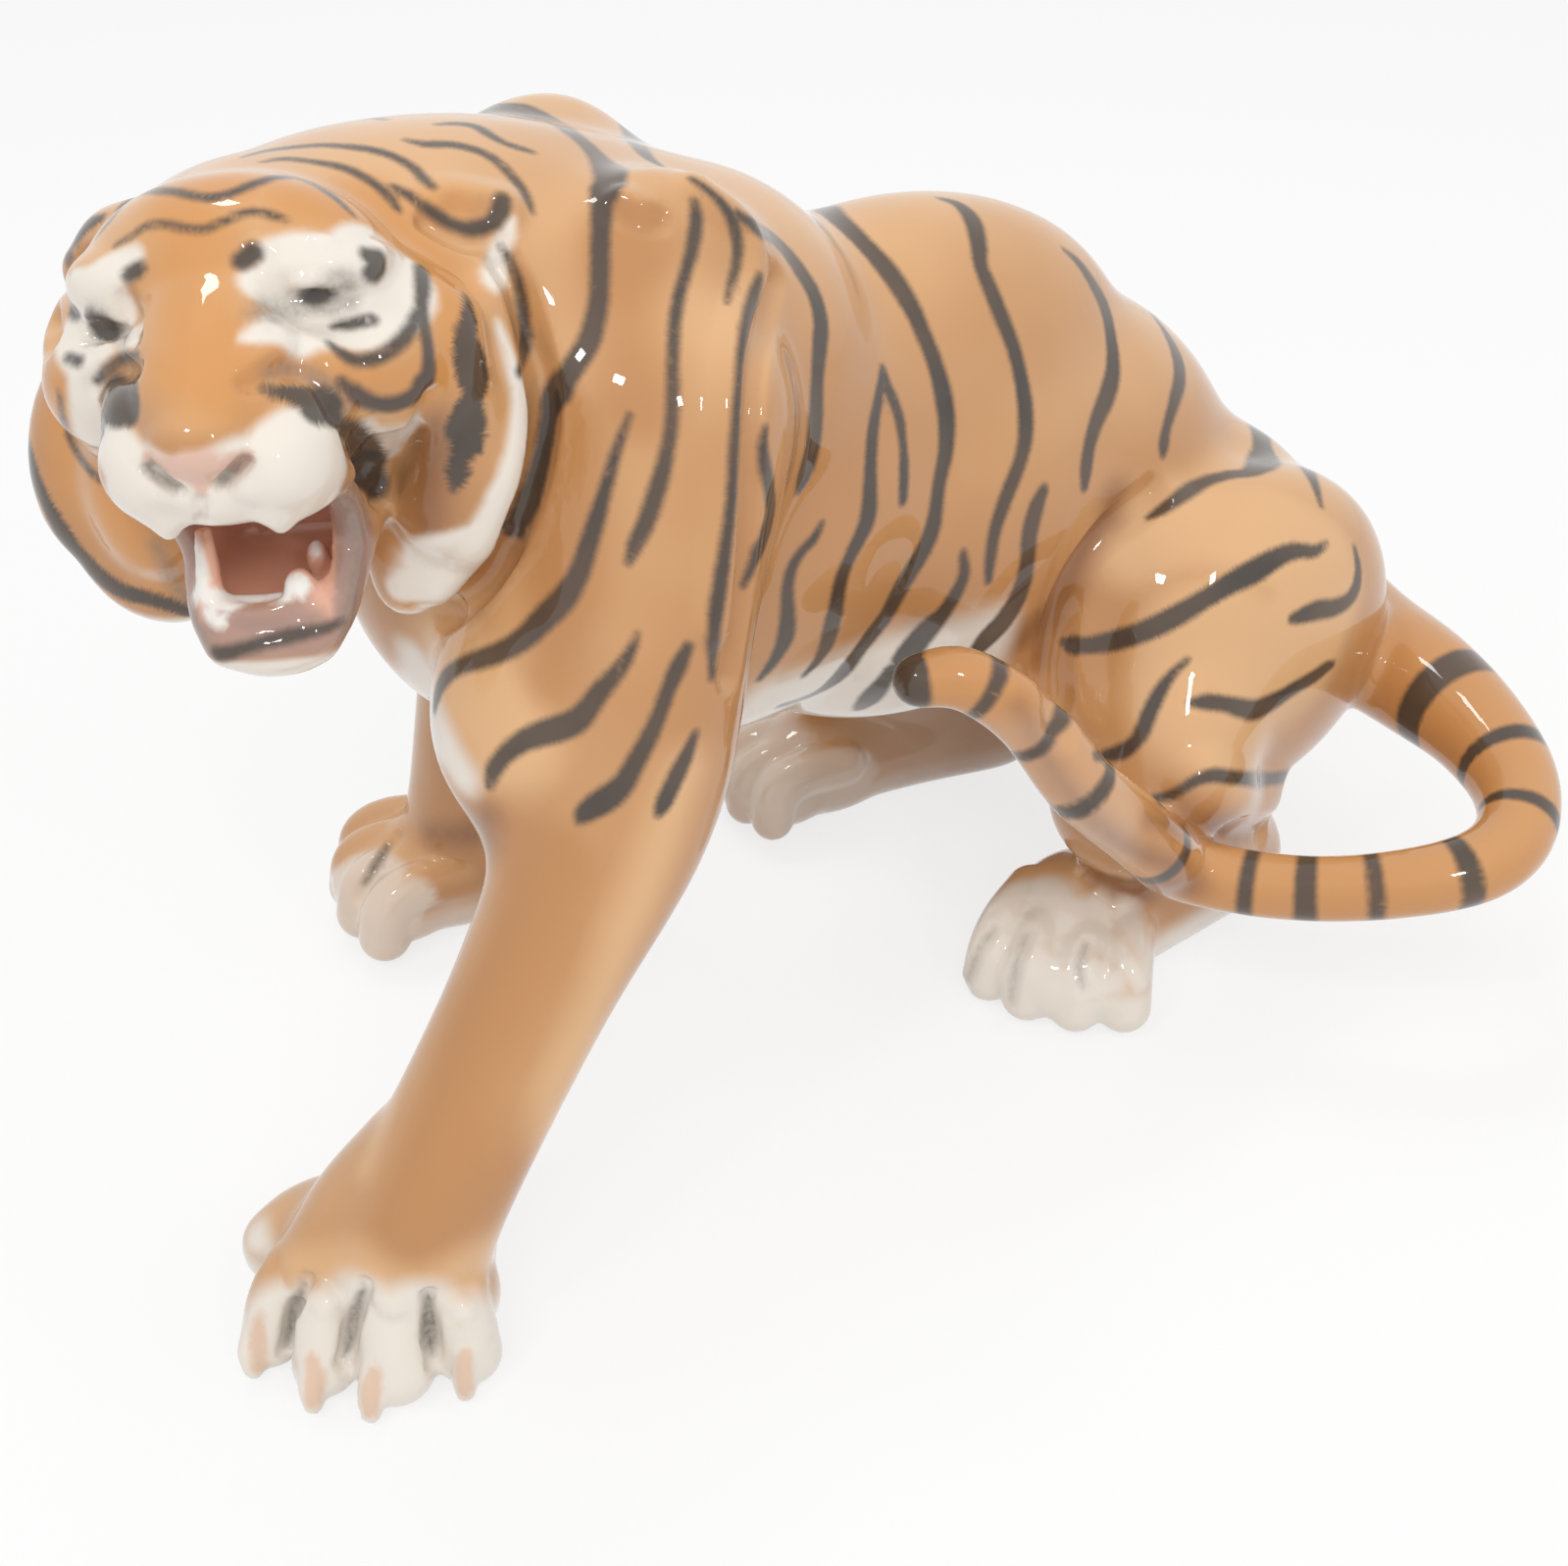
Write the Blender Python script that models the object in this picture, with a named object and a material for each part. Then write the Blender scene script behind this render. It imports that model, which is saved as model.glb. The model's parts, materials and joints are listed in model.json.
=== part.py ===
"""A snarling tiger in glazed porcelain, slip-cast in one piece.

It crouches with its left forepaw forward, its head turned to its left and its
tail swung round over the left hind foot. Tables are in millimetres: x runs from
head to rump, y to the tiger's right, z up from the floor. Round masses and limb
tubes are fused, smoothed like wet clay and cut flat under the four paws.
"""

import math

import bmesh
import bpy
import numpy as np
from mathutils import Euler, Matrix, Vector

MM = 0.001
FACES = 11800
SOLE_LEVEL = 0.4

BODY_GRAIN = 2.0
BODY_SMOOTHING = 36
NECK_GRAIN = 1.5
NECK_SMOOTHING = 8
SKIN_GRAIN = 1.2
SKIN_SMOOTHING = 5

HEAD_AT = (-48.7, -7.2, 161.1)
HEAD_YAW = 53.1
HEAD_PITCH = 16.4
HEAD_ROLL = 5.0
HEAD_SCALE = 0.93

LEFT_FOREPAW_WIDTH = 43.0
RIGHT_FOREPAW_WIDTH = 37.0
LEFT_HIND_PAW_WIDTH = 37.0
RIGHT_HIND_PAW_WIDTH = 32.0
TOE_SPREAD = (-15.5, -5.6, 5.4, 15.5)
TOE_SPREAD_WIDTH = 43.0
CLAW_RADIUS = 2.0

GLAZE = (0.62, 0.40, 0.22, 1.0)


def ball(clay, at, size, turn=(0, 0, 0), frame=Matrix()):
    """Adds an ellipsoid with the given half axes."""
    spin = Euler([math.radians(angle) for angle in turn]).to_matrix().to_4x4()
    place = frame @ Matrix.Translation(at) @ spin @ Matrix.Diagonal((*size, 1))
    bmesh.ops.create_icosphere(clay, subdivisions=4, radius=1, matrix=place)


def smooth_path(knots, steps=6):
    """Points and radii on a smooth curve through the knots."""
    rows = [Vector(knot) for knot in knots]
    rows = [2 * rows[0] - rows[1], *rows, 2 * rows[-1] - rows[-2]]
    path = []
    for a, b, c, d in zip(rows, rows[1:], rows[2:], rows[3:]):
        for step in range(steps):
            t = step / steps
            pull = (c - a) * t
            bend = (2 * a - 5 * b + 4 * c - d) * t**2
            swing = (3 * b - a - 3 * c + d) * t**3
            path.append(0.5 * (2 * b + pull + bend + swing))
    path.append(rows[-2])
    return path


def tube(clay, knots, frame=Matrix()):
    """Adds a round limb through knots of x, y, z and radius, with rounded ends."""
    path = smooth_path(knots)
    curve = bpy.data.curves.new("limb", "CURVE")
    curve.dimensions = "3D"
    curve.bevel_depth = 1
    curve.bevel_resolution = 6
    curve.use_fill_caps = True
    line = curve.splines.new("POLY")
    line.points.add(len(path) - 1)
    for point, knot in zip(line.points, path):
        point.co = (*knot[:3], 1)
        point.radius = knot[3]
    limb = bpy.data.objects.new("limb", curve)
    bpy.context.scene.collection.objects.link(limb)
    view = bpy.context.evaluated_depsgraph_get()
    mesh = bpy.data.meshes.new_from_object(limb.evaluated_get(view))
    mesh.transform(frame)
    clay.from_mesh(mesh)
    bpy.data.objects.remove(limb)
    bpy.data.meshes.remove(mesh)
    for end in (path[0], path[-1]):
        ball(clay, end[:3], (end[3],) * 3, frame=frame)


def fuse(name, clay, grain, smoothing):
    """Fuses overlapping closed shapes into one skin and smooths it."""
    mesh = bpy.data.meshes.new(name)
    clay.to_mesh(mesh)
    clay.free()
    lump = bpy.data.objects.new(name, mesh)
    bpy.context.scene.collection.objects.link(lump)
    remesh = lump.modifiers.new("fuse", "REMESH")
    remesh.mode = "VOXEL"
    remesh.voxel_size = grain
    smooth = lump.modifiers.new("smooth", "SMOOTH")
    smooth.factor = 0.5
    smooth.iterations = smoothing
    view = bpy.context.evaluated_depsgraph_get()
    skin = bpy.data.meshes.new_from_object(lump.evaluated_get(view))
    bpy.data.objects.remove(lump)
    return skin


def facing(at, forward, left):
    """A frame with its axes forward, left and up, at a point."""
    up = forward.cross(left)
    axes = Matrix((forward, left, up)).transposed().to_4x4()
    return Matrix.Translation(at) @ axes


def head_frame():
    """Head coordinates (forward, left, up) to the body's."""
    yaw = math.radians(HEAD_YAW)
    pitch = math.radians(HEAD_PITCH)
    roll = math.radians(HEAD_ROLL)
    level = Vector((-math.cos(yaw), -math.sin(yaw), 0))
    forward = level * math.cos(pitch) + Vector((0, 0, math.sin(pitch)))
    side = Vector((math.sin(yaw), -math.cos(yaw), 0))
    left = math.cos(roll) * side + math.sin(roll) * forward.cross(side)
    return facing(HEAD_AT, forward, left) @ Matrix.Scale(HEAD_SCALE, 4)


def paw_frame(at, heading):
    """Paw coordinates (to the toes, left, up); a heading above 0 turns the toes left."""
    angle = math.radians(heading)
    forward = Vector((-math.cos(angle), -math.sin(angle), 0))
    left = Vector((math.sin(angle), -math.cos(angle), 0))
    return facing(at, forward, left)


def torso(clay):
    ball(clay, (24, 0, 108), (57, 34, 46))
    ball(clay, (-8, 0, 110), (31, 29, 35))
    ball(clay, (70, 0, 94), (53, 32, 43))
    ball(clay, (62, 0, 113), (55, 26, 38))
    ball(clay, (102, 0, 89), (49, 29, 37), turn=(0, 38, 0))
    ball(clay, (138, -2, 63), (33, 29, 27), turn=(0, 45, 0))
    ball(clay, (6, -20, 137), (26, 16, 37))
    ball(clay, (9, 20, 137), (26, 16, 37))


def neck(clay):
    tube(clay, [(20, 0, 130, 35), (-10, 2, 144, 33), (-32, 0, 151, 29.5), (-48, -5, 155, 25)])
    tube(clay, [(6, 14, 128, 24), (-22, 16, 131, 22), (-44, 16, 133, 16.5), (-56, 13, 134, 12)])


def left_foreleg(clay):
    tube(
        clay,
        [
            (2, -27, 138, 22),
            (-8, -35, 112, 20),
            (-16, -42, 84, 17),
            (-34, -47, 60, 13.6),
            (-53, -52, 38, 13),
            (-62, -51, 22, 14),
            (-64, -52, 12, 13),
        ],
    )


def right_foreleg(clay):
    tube(
        clay,
        [
            (2, 27, 138, 22),
            (4, 35, 112, 20.5),
            (6, 39, 88, 18),
            (5, 42, 64, 15.5),
            (1, 44, 42, 14),
            (-2, 46, 22, 14),
            (-6, 48, 12, 13),
        ],
    )


def left_hind_leg(clay):
    ball(clay, (125, -33, 61), (37, 21, 36))
    ball(clay, (92, -20, 60), (18, 14, 18))
    tube(clay, [(134, -12, 72, 24), (107, -36, 56, 21), (94, -43, 42, 17)])
    tube(clay, [(94, -43, 42, 17), (110, -41, 28, 14.5), (128, -38, 14, 11)])
    tube(clay, [(129, -38, 10, 11), (110, -40, 11, 11.5), (90, -42, 12, 12)])


def right_hind_leg(clay):
    ball(clay, (123, 31, 62), (37, 21, 37))
    ball(clay, (88, 20, 60), (18, 14, 18))
    tube(clay, [(134, 12, 72, 24), (105, 36, 56, 21), (86, 42, 42, 16.5)])
    tube(clay, [(86, 42, 42, 16.5), (102, 36, 28, 14), (118, 29, 15, 11)])
    tube(clay, [(120, 28, 10, 11), (98, 33, 10.5, 11), (80, 36, 11, 11.5)])


def tail(clay):
    tube(
        clay,
        [
            (150, 2, 58, 16),
            (163, -14, 51, 14),
            (163, -34, 48, 12.6),
            (160, -53, 49, 11.6),
            (157.5, -69, 48, 9.8),
            (151.5, -84, 46, 8.4),
            (141, -93.5, 44, 7.4),
            (129, -94.5, 42, 6.9),
            (113.5, -86, 39.2, 6.4),
            (101.5, -74, 36.8, 6.3),
            (91, -61, 37, 6.5),
            (83, -62, 45, 6.8),
            (74.6, -62, 54.4, 6.8),
            (64, -60, 66, 6.6),
            (55.9, -54, 79.5, 6),
            (47, -48, 87, 5.6),
            (40, -45, 87.3, 5),
        ],
    )


def head_mass(clay):
    frame = head_frame()
    ball(clay, (-8, 0, -4), (26, 29, 25.5), frame=frame)
    ball(clay, (10, 0, 4), (16, 23, 15.5), frame=frame)
    ball(clay, (12, 0, -14), (20, 20, 14), frame=frame)
    ball(clay, (-2, 0, -28), (13, 13, 14), frame=frame)
    for side in (-1, 1):
        ball(clay, (6, 20 * side, -8), (14, 12, 15), frame=frame)
        ball(clay, (-5, 23 * side, -26), (11, 11, 17), frame=frame)
    ball(clay, (-8, 27, -18), (9, 12, 24), turn=(18, 0, 0), frame=frame)
    ball(clay, (-8, 19, -36), (8, 9, 17), turn=(-24, 0, 0), frame=frame)
    ball(clay, (-10, -31, -22), (9, 13, 20), turn=(-14, 0, 0), frame=frame)
    ball(clay, (-10, -26, -37), (8, 13, 15), turn=(34, 0, 0), frame=frame)


def face(clay):
    frame = head_frame()
    tube(clay, [(16, 0, 2, 9), (27, 0, -4, 9.5), (36, 0, -12, 9)], frame=frame)
    ball(clay, (40, 0, -16), (5, 9, 5), frame=frame)
    for side in (-1, 1):
        ball(clay, (19, 13 * side, 6.5), (8, 10, 5.5), frame=frame)
        ball(clay, (12, 20 * side, -9), (13, 11, 11), frame=frame)
        ball(clay, (28, 9 * side, -18), (14, 11, 11), frame=frame)
    tube(clay, [(-8, 21, 9, 7.5), (-9, 27, 9.5, 7.2), (-10, 33, 8, 5.6)], frame=frame)
    tube(clay, [(-8, -19, 9, 7), (-10, -24, 8, 6.8), (-12, -29, 5, 5.4)], frame=frame)


def jaw(clay):
    frame = head_frame()
    tube(
        clay,
        [
            (0, -14, -24, 7),
            (12, -10.5, -36, 5.5),
            (20, -7, -44, 5.5),
            (22, 0, -46, 6),
            (20, 7, -44, 5.5),
            (12, 10.5, -36, 5.5),
            (0, 14, -24, 7),
        ],
        frame=frame,
    )
    ball(clay, (8, 0, -42), (16, 10, 7), frame=frame)
    for side in (-1, 1):
        fang = 10 * side
        tube(clay, [(33, fang, -24, 3), (33, fang, -29, 2.4), (32, fang, -33, 1.4)], frame=frame)
        tube(clay, [(23, 7.5 * side, -42, 2.8), (24, 7.5 * side, -37, 2.4)], frame=frame)


def paw(clay, at, heading, width, claws=False):
    """Four bent toes in front of a pad, the knuckles high and the toe ends wide."""
    frame = paw_frame(at, heading)
    scale = width / TOE_SPREAD_WIDTH
    ball(clay, (-8, 0, 11), (19, width * 0.4, 13), frame=frame)
    ball(clay, (2, 0, 8), (13, width * 0.44, 10), frame=frame)
    for spread in TOE_SPREAD:
        side = spread * scale
        reach = -3 if abs(spread) > 10 else 0
        tube(
            clay,
            [
                (-6 + reach, side * 0.75, 18, 5.5),
                (4 + reach, side * 0.88, 19.5, 4.8),
                (9 + reach, side * 0.94, 17, 4.5),
                (11.5 + reach, side, 11, 5.2),
                (11.5 + reach, side * 1.02, 5.5, 5.9 * scale),
            ],
            frame=frame,
        )
        if claws:
            tube(
                clay,
                [
                    (15 + reach, side, 9, CLAW_RADIUS),
                    (17.5 + reach, side, 5.5, CLAW_RADIUS),
                    (17.5 + reach, side, 1, 0.8 * CLAW_RADIUS),
                ],
                frame=frame,
            )


def dew_claw(clay):
    frame = paw_frame((-66, -51, 0), 47.5)
    tube(clay, [(-9, -12, 18, 7), (-6, -17, 16.5, 6.8), (-2.5, -21.5, 14.5, 6.2)], frame=frame)


def press(skin, at, radius, depth, frame=Matrix()):
    """Pushes the skin in around a point, as a fingertip does."""
    count = 3 * len(skin.vertices)
    points = np.empty(count)
    normals = np.empty(count)
    skin.vertices.foreach_get("co", points)
    skin.vertices.foreach_get("normal", normals)
    points = points.reshape(-1, 3)
    gap = np.linalg.norm(points - np.array(frame @ Vector(at)), axis=1) / radius
    push = depth * np.clip(1 - gap**2, 0, 1) ** 2
    points -= normals.reshape(-1, 3) * push[:, None]
    skin.vertices.foreach_set("co", points.ravel())
    skin.update()


def hollows(skin):
    frame = head_frame()
    for side in (-1, 1):
        press(skin, (27, 15 * side, 0), 7, 2.5, frame)
        press(skin, (20, 22 * side, -14), 8, 1.2, frame)
        press(skin, (12, 20 * side, -20), 6, 2, frame)
    press(skin, (-2, 31, 6), 6, 3, frame)
    press(skin, (-4, -27, 5), 5, 2, frame)
    press(skin, (12, 0, -37), 8, 3, frame)


def stand(skin):
    """Cuts the paws flat on the floor and closes the cuts."""
    shape = bmesh.new()
    shape.from_mesh(skin)
    parts = [*shape.verts, *shape.edges, *shape.faces]
    floor = {"plane_co": (0, 0, 0), "plane_no": (0, 0, 1)}
    bmesh.ops.bisect_plane(shape, geom=parts, clear_inner=True, **floor)
    rim = [edge for edge in shape.edges if edge.is_boundary]
    bmesh.ops.holes_fill(shape, edges=rim)
    soles = [face for face in shape.faces if len(face.verts) > 4]
    bmesh.ops.triangulate(shape, faces=soles)
    shape.to_mesh(skin)
    shape.free()


def settle(skin):
    """Levels the soles and sets the middle of the figure over the origin, in metres."""
    points = [vertex.co for vertex in skin.vertices]
    for point in points:
        if point.z < SOLE_LEVEL:
            point.z = 0
    low = [min(point[axis] for point in points) for axis in range(3)]
    high = [max(point[axis] for point in points) for axis in range(3)]
    middle = Vector(((low[0] + high[0]) / 2, (low[1] + high[1]) / 2, 0))
    skin.transform(Matrix.Scale(MM, 4) @ Matrix.Translation(-middle))


def glaze():
    material = bpy.data.materials.new("glazed porcelain")
    material.use_nodes = True
    shader = material.node_tree.nodes["Principled BSDF"]
    shader.inputs["Base Color"].default_value = GLAZE
    shader.inputs["Roughness"].default_value = 0.08
    return material


def build():
    for old in list(bpy.data.objects):
        bpy.data.objects.remove(old)
    clay = bmesh.new()
    torso(clay)
    neck(clay)
    left_foreleg(clay)
    right_foreleg(clay)
    left_hind_leg(clay)
    right_hind_leg(clay)
    body = fuse("body", clay, BODY_GRAIN, BODY_SMOOTHING)
    clay = bmesh.new()
    clay.from_mesh(body)
    head_mass(clay)
    tail(clay)
    body = fuse("body", clay, NECK_GRAIN, NECK_SMOOTHING)
    clay = bmesh.new()
    clay.from_mesh(body)
    face(clay)
    jaw(clay)
    paw(clay, (-66, -51, 0), 47.5, LEFT_FOREPAW_WIDTH, claws=True)
    dew_claw(clay)
    paw(clay, (-15, 50, 0), -15, RIGHT_FOREPAW_WIDTH)
    paw(clay, (81, -43, 0), 36, LEFT_HIND_PAW_WIDTH)
    paw(clay, (70, 39, 0), -12, RIGHT_HIND_PAW_WIDTH)
    skin = fuse("skin", clay, SKIN_GRAIN, SKIN_SMOOTHING)
    hollows(skin)
    stand(skin)
    lump = bpy.data.objects.new("lump", skin)
    bpy.context.scene.collection.objects.link(lump)
    coarse = lump.modifiers.new("coarse", "DECIMATE")
    coarse.ratio = FACES / sum(len(face.vertices) - 2 for face in skin.polygons)
    view = bpy.context.evaluated_depsgraph_get()
    mesh = bpy.data.meshes.new_from_object(lump.evaluated_get(view))
    bpy.data.objects.remove(lump)
    settle(mesh)
    mesh.shade_smooth()
    mesh.materials.append(glaze())
    tiger = bpy.data.objects.new("tiger", mesh)
    bpy.context.scene.collection.objects.link(tiger)


build()
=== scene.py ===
import json
import math

import bpy
import numpy as np
from mathutils import Euler, Matrix, Vector
from mathutils.bvhtree import BVHTree

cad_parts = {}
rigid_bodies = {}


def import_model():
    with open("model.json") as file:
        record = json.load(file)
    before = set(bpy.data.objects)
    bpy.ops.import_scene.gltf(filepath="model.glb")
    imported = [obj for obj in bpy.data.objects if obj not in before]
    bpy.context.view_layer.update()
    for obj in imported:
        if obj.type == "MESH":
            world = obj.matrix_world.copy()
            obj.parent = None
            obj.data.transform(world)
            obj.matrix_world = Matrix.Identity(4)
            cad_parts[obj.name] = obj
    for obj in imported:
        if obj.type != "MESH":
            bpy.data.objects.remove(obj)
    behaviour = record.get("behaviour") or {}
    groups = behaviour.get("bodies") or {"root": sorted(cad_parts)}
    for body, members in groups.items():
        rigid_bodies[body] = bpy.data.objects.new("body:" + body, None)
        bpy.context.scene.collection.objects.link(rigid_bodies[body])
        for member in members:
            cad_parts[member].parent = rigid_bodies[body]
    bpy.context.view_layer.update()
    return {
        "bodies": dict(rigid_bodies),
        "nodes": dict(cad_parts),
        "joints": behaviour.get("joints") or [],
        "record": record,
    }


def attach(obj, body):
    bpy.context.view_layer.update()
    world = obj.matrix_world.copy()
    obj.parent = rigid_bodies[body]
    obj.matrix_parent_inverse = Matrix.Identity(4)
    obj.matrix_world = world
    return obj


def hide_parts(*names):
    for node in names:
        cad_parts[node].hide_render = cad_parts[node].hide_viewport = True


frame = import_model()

# A snarling tiger in glazed porcelain. The modelling tables are in millimetres:
# x runs from head to rump, y to the tiger's right, z up from the floor.

picture = {
    "across": 1599,  # the frame that picture points are given in
    "down": 1597,
    "lens": 50,
    "sensor": 36,
    "eye": (-147.1, -286.46, 280.0),  # where the camera stands, in table millimetres
    "look": (0.4533, 0.6823, -0.5736),
}

tiger = {
    "middle": (44.049, -15.834, 0.0),  # middle of the figure, which goes over the origin
    "bodyGrain": 2.0,
    "bodySmoothing": 36,
    "neckGrain": 1.5,
    "neckSmoothing": 8,
    "faceGrain": 0.85,
    "faceSmoothing": 2,
    "skinGrain": 0.66,
    "skinSmoothing": 8,
    "triangles": 192000,
    "headAt": (-48.7, -7.2, 161.1),
    "headYaw": 53.1,
    "headPitch": 16.4,
    "headRoll": 5.0,
    "headScale": 0.93,
    "clawedPaw": ((-66, -51, 0), 47.5),  # where it stands and its heading in degrees
    "paws": (  # the same, and the width
        ((-15, 50, 0), -15, 37.0), ((81, -43, 0), 36, 37.0), ((70, 39, 0), -12, 32.0),
    ),
    "toeSpread": (-15.5, -5.6, 5.4, 15.5),
    "clawedToes": (  # each toe and its claw: forward, side, up and radius in the paw's frame
        (((-6, -12, 17, 5), (2.6, -15.8, 16.6, 4.6), (6, -18, 12, 4.6), (7.4, -19, 5.4, 5)),
         ((8.4, -21, 9.6, 1.6), (11.2, -21.2, 5.8, 2.1), (12.2, -20.6, 2.8, 1.8))),
        (((-4, -6, 18, 5), (6, -8.2, 16.8, 4.6), (10, -8.6, 11.5, 4.6), (11.6, -8.6, 5.5, 5.3)),
         ((14.2, -9.6, 9.8, 1.6), (16.6, -9.2, 5.8, 2.1), (17.4, -8.9, 2.8, 1.8))),
        (((-4, 1, 18, 5.2), (5.6, 1.4, 16.8, 4.9), (9.5, 2.4, 11.5, 5.4), (10.8, 3, 6.2, 6.4)),
         ((14.8, 0.4, 9.8, 1.6), (16.9, 0.5, 5.8, 2.1), (17.7, 0.7, 2.8, 1.8))),
        (((-6, 9, 17, 5), (3.6, 12, 16, 4.9), (5, 13.2, 11, 5), (5.6, 13.4, 5.6, 5.4)),
         ((10, 14.2, 9.6, 1.6), (11, 14.2, 5.8, 2.1), (11.4, 14.2, 2.9, 1.8))),
    ),
    "toeSpreadWidth": 43.0,
    "soleLevel": 0.4,  # all that is lower than this is pressed flat
    "fineBand": 1.4,  # how far from a stroke's edge the mesh stays fine, mm
    "fineLevels": 8,
    "tailLevel": 5,
    "finePull": 0.01,
}


def selectOnly(piece):
    bpy.ops.object.select_all(action="DESELECT")
    piece.select_set(True)
    bpy.context.view_layer.objects.active = piece


def ball(clay, at, size, turn=(0, 0, 0), frame=Matrix()):
    spin = Euler([math.radians(angle) for angle in turn]).to_matrix().to_4x4()
    bpy.ops.mesh.primitive_ico_sphere_add(subdivisions=4, radius=1)
    lump = bpy.context.object
    lump.data.transform(frame @ Matrix.Translation(at) @ spin @ Matrix.Diagonal((*size, 1)))
    clay.append(lump)


def block(clay, at, size, turn, edge, frame=Matrix()):  # a box with well rounded edges
    spin = Euler([math.radians(angle) for angle in turn]).to_matrix().to_4x4()
    bpy.ops.object.select_all(action="DESELECT")
    bpy.ops.mesh.primitive_cube_add(size=2)
    lump = bpy.context.object
    lump.data.transform(Matrix.Diagonal((*size, 1)))
    bevel = lump.modifiers.new("edges", "BEVEL")
    bevel.width = edge
    bevel.segments = 5
    bpy.ops.object.modifier_apply(modifier="edges")
    lump.data.transform(frame @ Matrix.Translation(at) @ spin)
    clay.append(lump)


def smoothPath(knots, steps=6):  # a smooth curve through the knots, all their numbers with it
    rows = [Vector(knot) for knot in knots]
    rows = [2 * rows[0] - rows[1], *rows, 2 * rows[-1] - rows[-2]]
    path = []
    for a, b, c, d in zip(rows, rows[1:], rows[2:], rows[3:]):
        for step in range(steps):
            t = step / steps
            pull = (c - a) * t
            bend = (2 * a - 5 * b + 4 * c - d) * t**2
            swing = (3 * b - a - 3 * c + d) * t**3
            path.append(0.5 * (2 * b + pull + bend + swing))
    path.append(rows[-2])
    return path


def tube(clay, knots, frame=Matrix()):  # a round limb through knots of x, y, z and radius
    path = smoothPath(knots)
    curve = bpy.data.curves.new("limb", "CURVE")
    curve.dimensions = "3D"
    curve.bevel_depth = 1
    curve.bevel_resolution = 6
    curve.use_fill_caps = True
    line = curve.splines.new("POLY")
    line.points.add(len(path) - 1)
    for point, knot in zip(line.points, path):
        point.co = (*knot[:3], 1)
        point.radius = knot[3]
    limb = bpy.data.objects.new("limb", curve)
    bpy.context.scene.collection.objects.link(limb)
    selectOnly(limb)
    bpy.ops.object.convert(target="MESH")
    limb = bpy.context.object
    limb.data.transform(frame)
    clay.append(limb)
    for end in (path[0], path[-1]):
        ball(clay, end[:3], (end[3],) * 3, frame=frame)


def fuse(clay, grain, smoothing):  # joins the lumps into one skin and smooths it like wet clay
    bpy.ops.object.select_all(action="DESELECT")
    for lump in clay:
        lump.select_set(True)
    bpy.context.view_layer.objects.active = clay[0]
    bpy.ops.object.join()
    skin = bpy.context.object
    selectOnly(skin)
    remesh = skin.modifiers.new("fuse", "REMESH")
    remesh.mode = "VOXEL"
    remesh.voxel_size = grain
    bpy.ops.object.modifier_apply(modifier="fuse")
    smooth = skin.modifiers.new("smooth", "SMOOTH")
    smooth.factor = 0.5
    smooth.iterations = smoothing
    bpy.ops.object.modifier_apply(modifier="smooth")
    return skin


def facing(at, forward, left):  # a frame with axes forward, left and up
    up = forward.cross(left)
    return Matrix.Translation(at) @ Matrix((forward, left, up)).transposed().to_4x4()


def findHeadFrame():
    yaw, pitch, roll = (math.radians(tiger[name]) for name in ("headYaw", "headPitch", "headRoll"))
    level = Vector((-math.cos(yaw), -math.sin(yaw), 0))
    forward = level * math.cos(pitch) + Vector((0, 0, math.sin(pitch)))
    side = Vector((math.sin(yaw), -math.cos(yaw), 0))
    left = math.cos(roll) * side + math.sin(roll) * forward.cross(side)
    return facing(tiger["headAt"], forward, left) @ Matrix.Scale(tiger["headScale"], 4)


headFrame = findHeadFrame()


def pawFrame(at, heading):  # a heading above 0 turns the toes to the tiger's left
    angle = math.radians(heading)
    forward = Vector((-math.cos(angle), -math.sin(angle), 0))
    left = Vector((math.sin(angle), -math.cos(angle), 0))
    return facing(at, forward, left)


def addTorso(clay):
    ball(clay, (24, 0, 108), (57, 34, 46))
    ball(clay, (-8, 0, 110), (31, 29, 35))
    ball(clay, (70, 0, 94), (53, 32, 43))
    ball(clay, (62, 0, 113), (55, 26, 38))
    ball(clay, (102, 0, 89), (49, 29, 37), turn=(0, 38, 0))
    ball(clay, (138, -2, 63), (33, 29, 27), turn=(0, 45, 0))
    ball(clay, (6, -20, 137), (26, 16, 37))
    ball(clay, (-15, -25, 108), (14, 13, 24))
    ball(clay, (9, 20, 137), (26, 16, 37))
    tube(clay, [(20, 0, 130, 35), (-10, 2, 144, 33), (-32, 0, 151, 29.5), (-48, -5, 155, 25)])
    tube(clay, [(6, 14, 128, 24), (-22, 16, 131, 22), (-44, 16, 133, 16.5), (-56, 13, 134, 12)])


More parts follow.
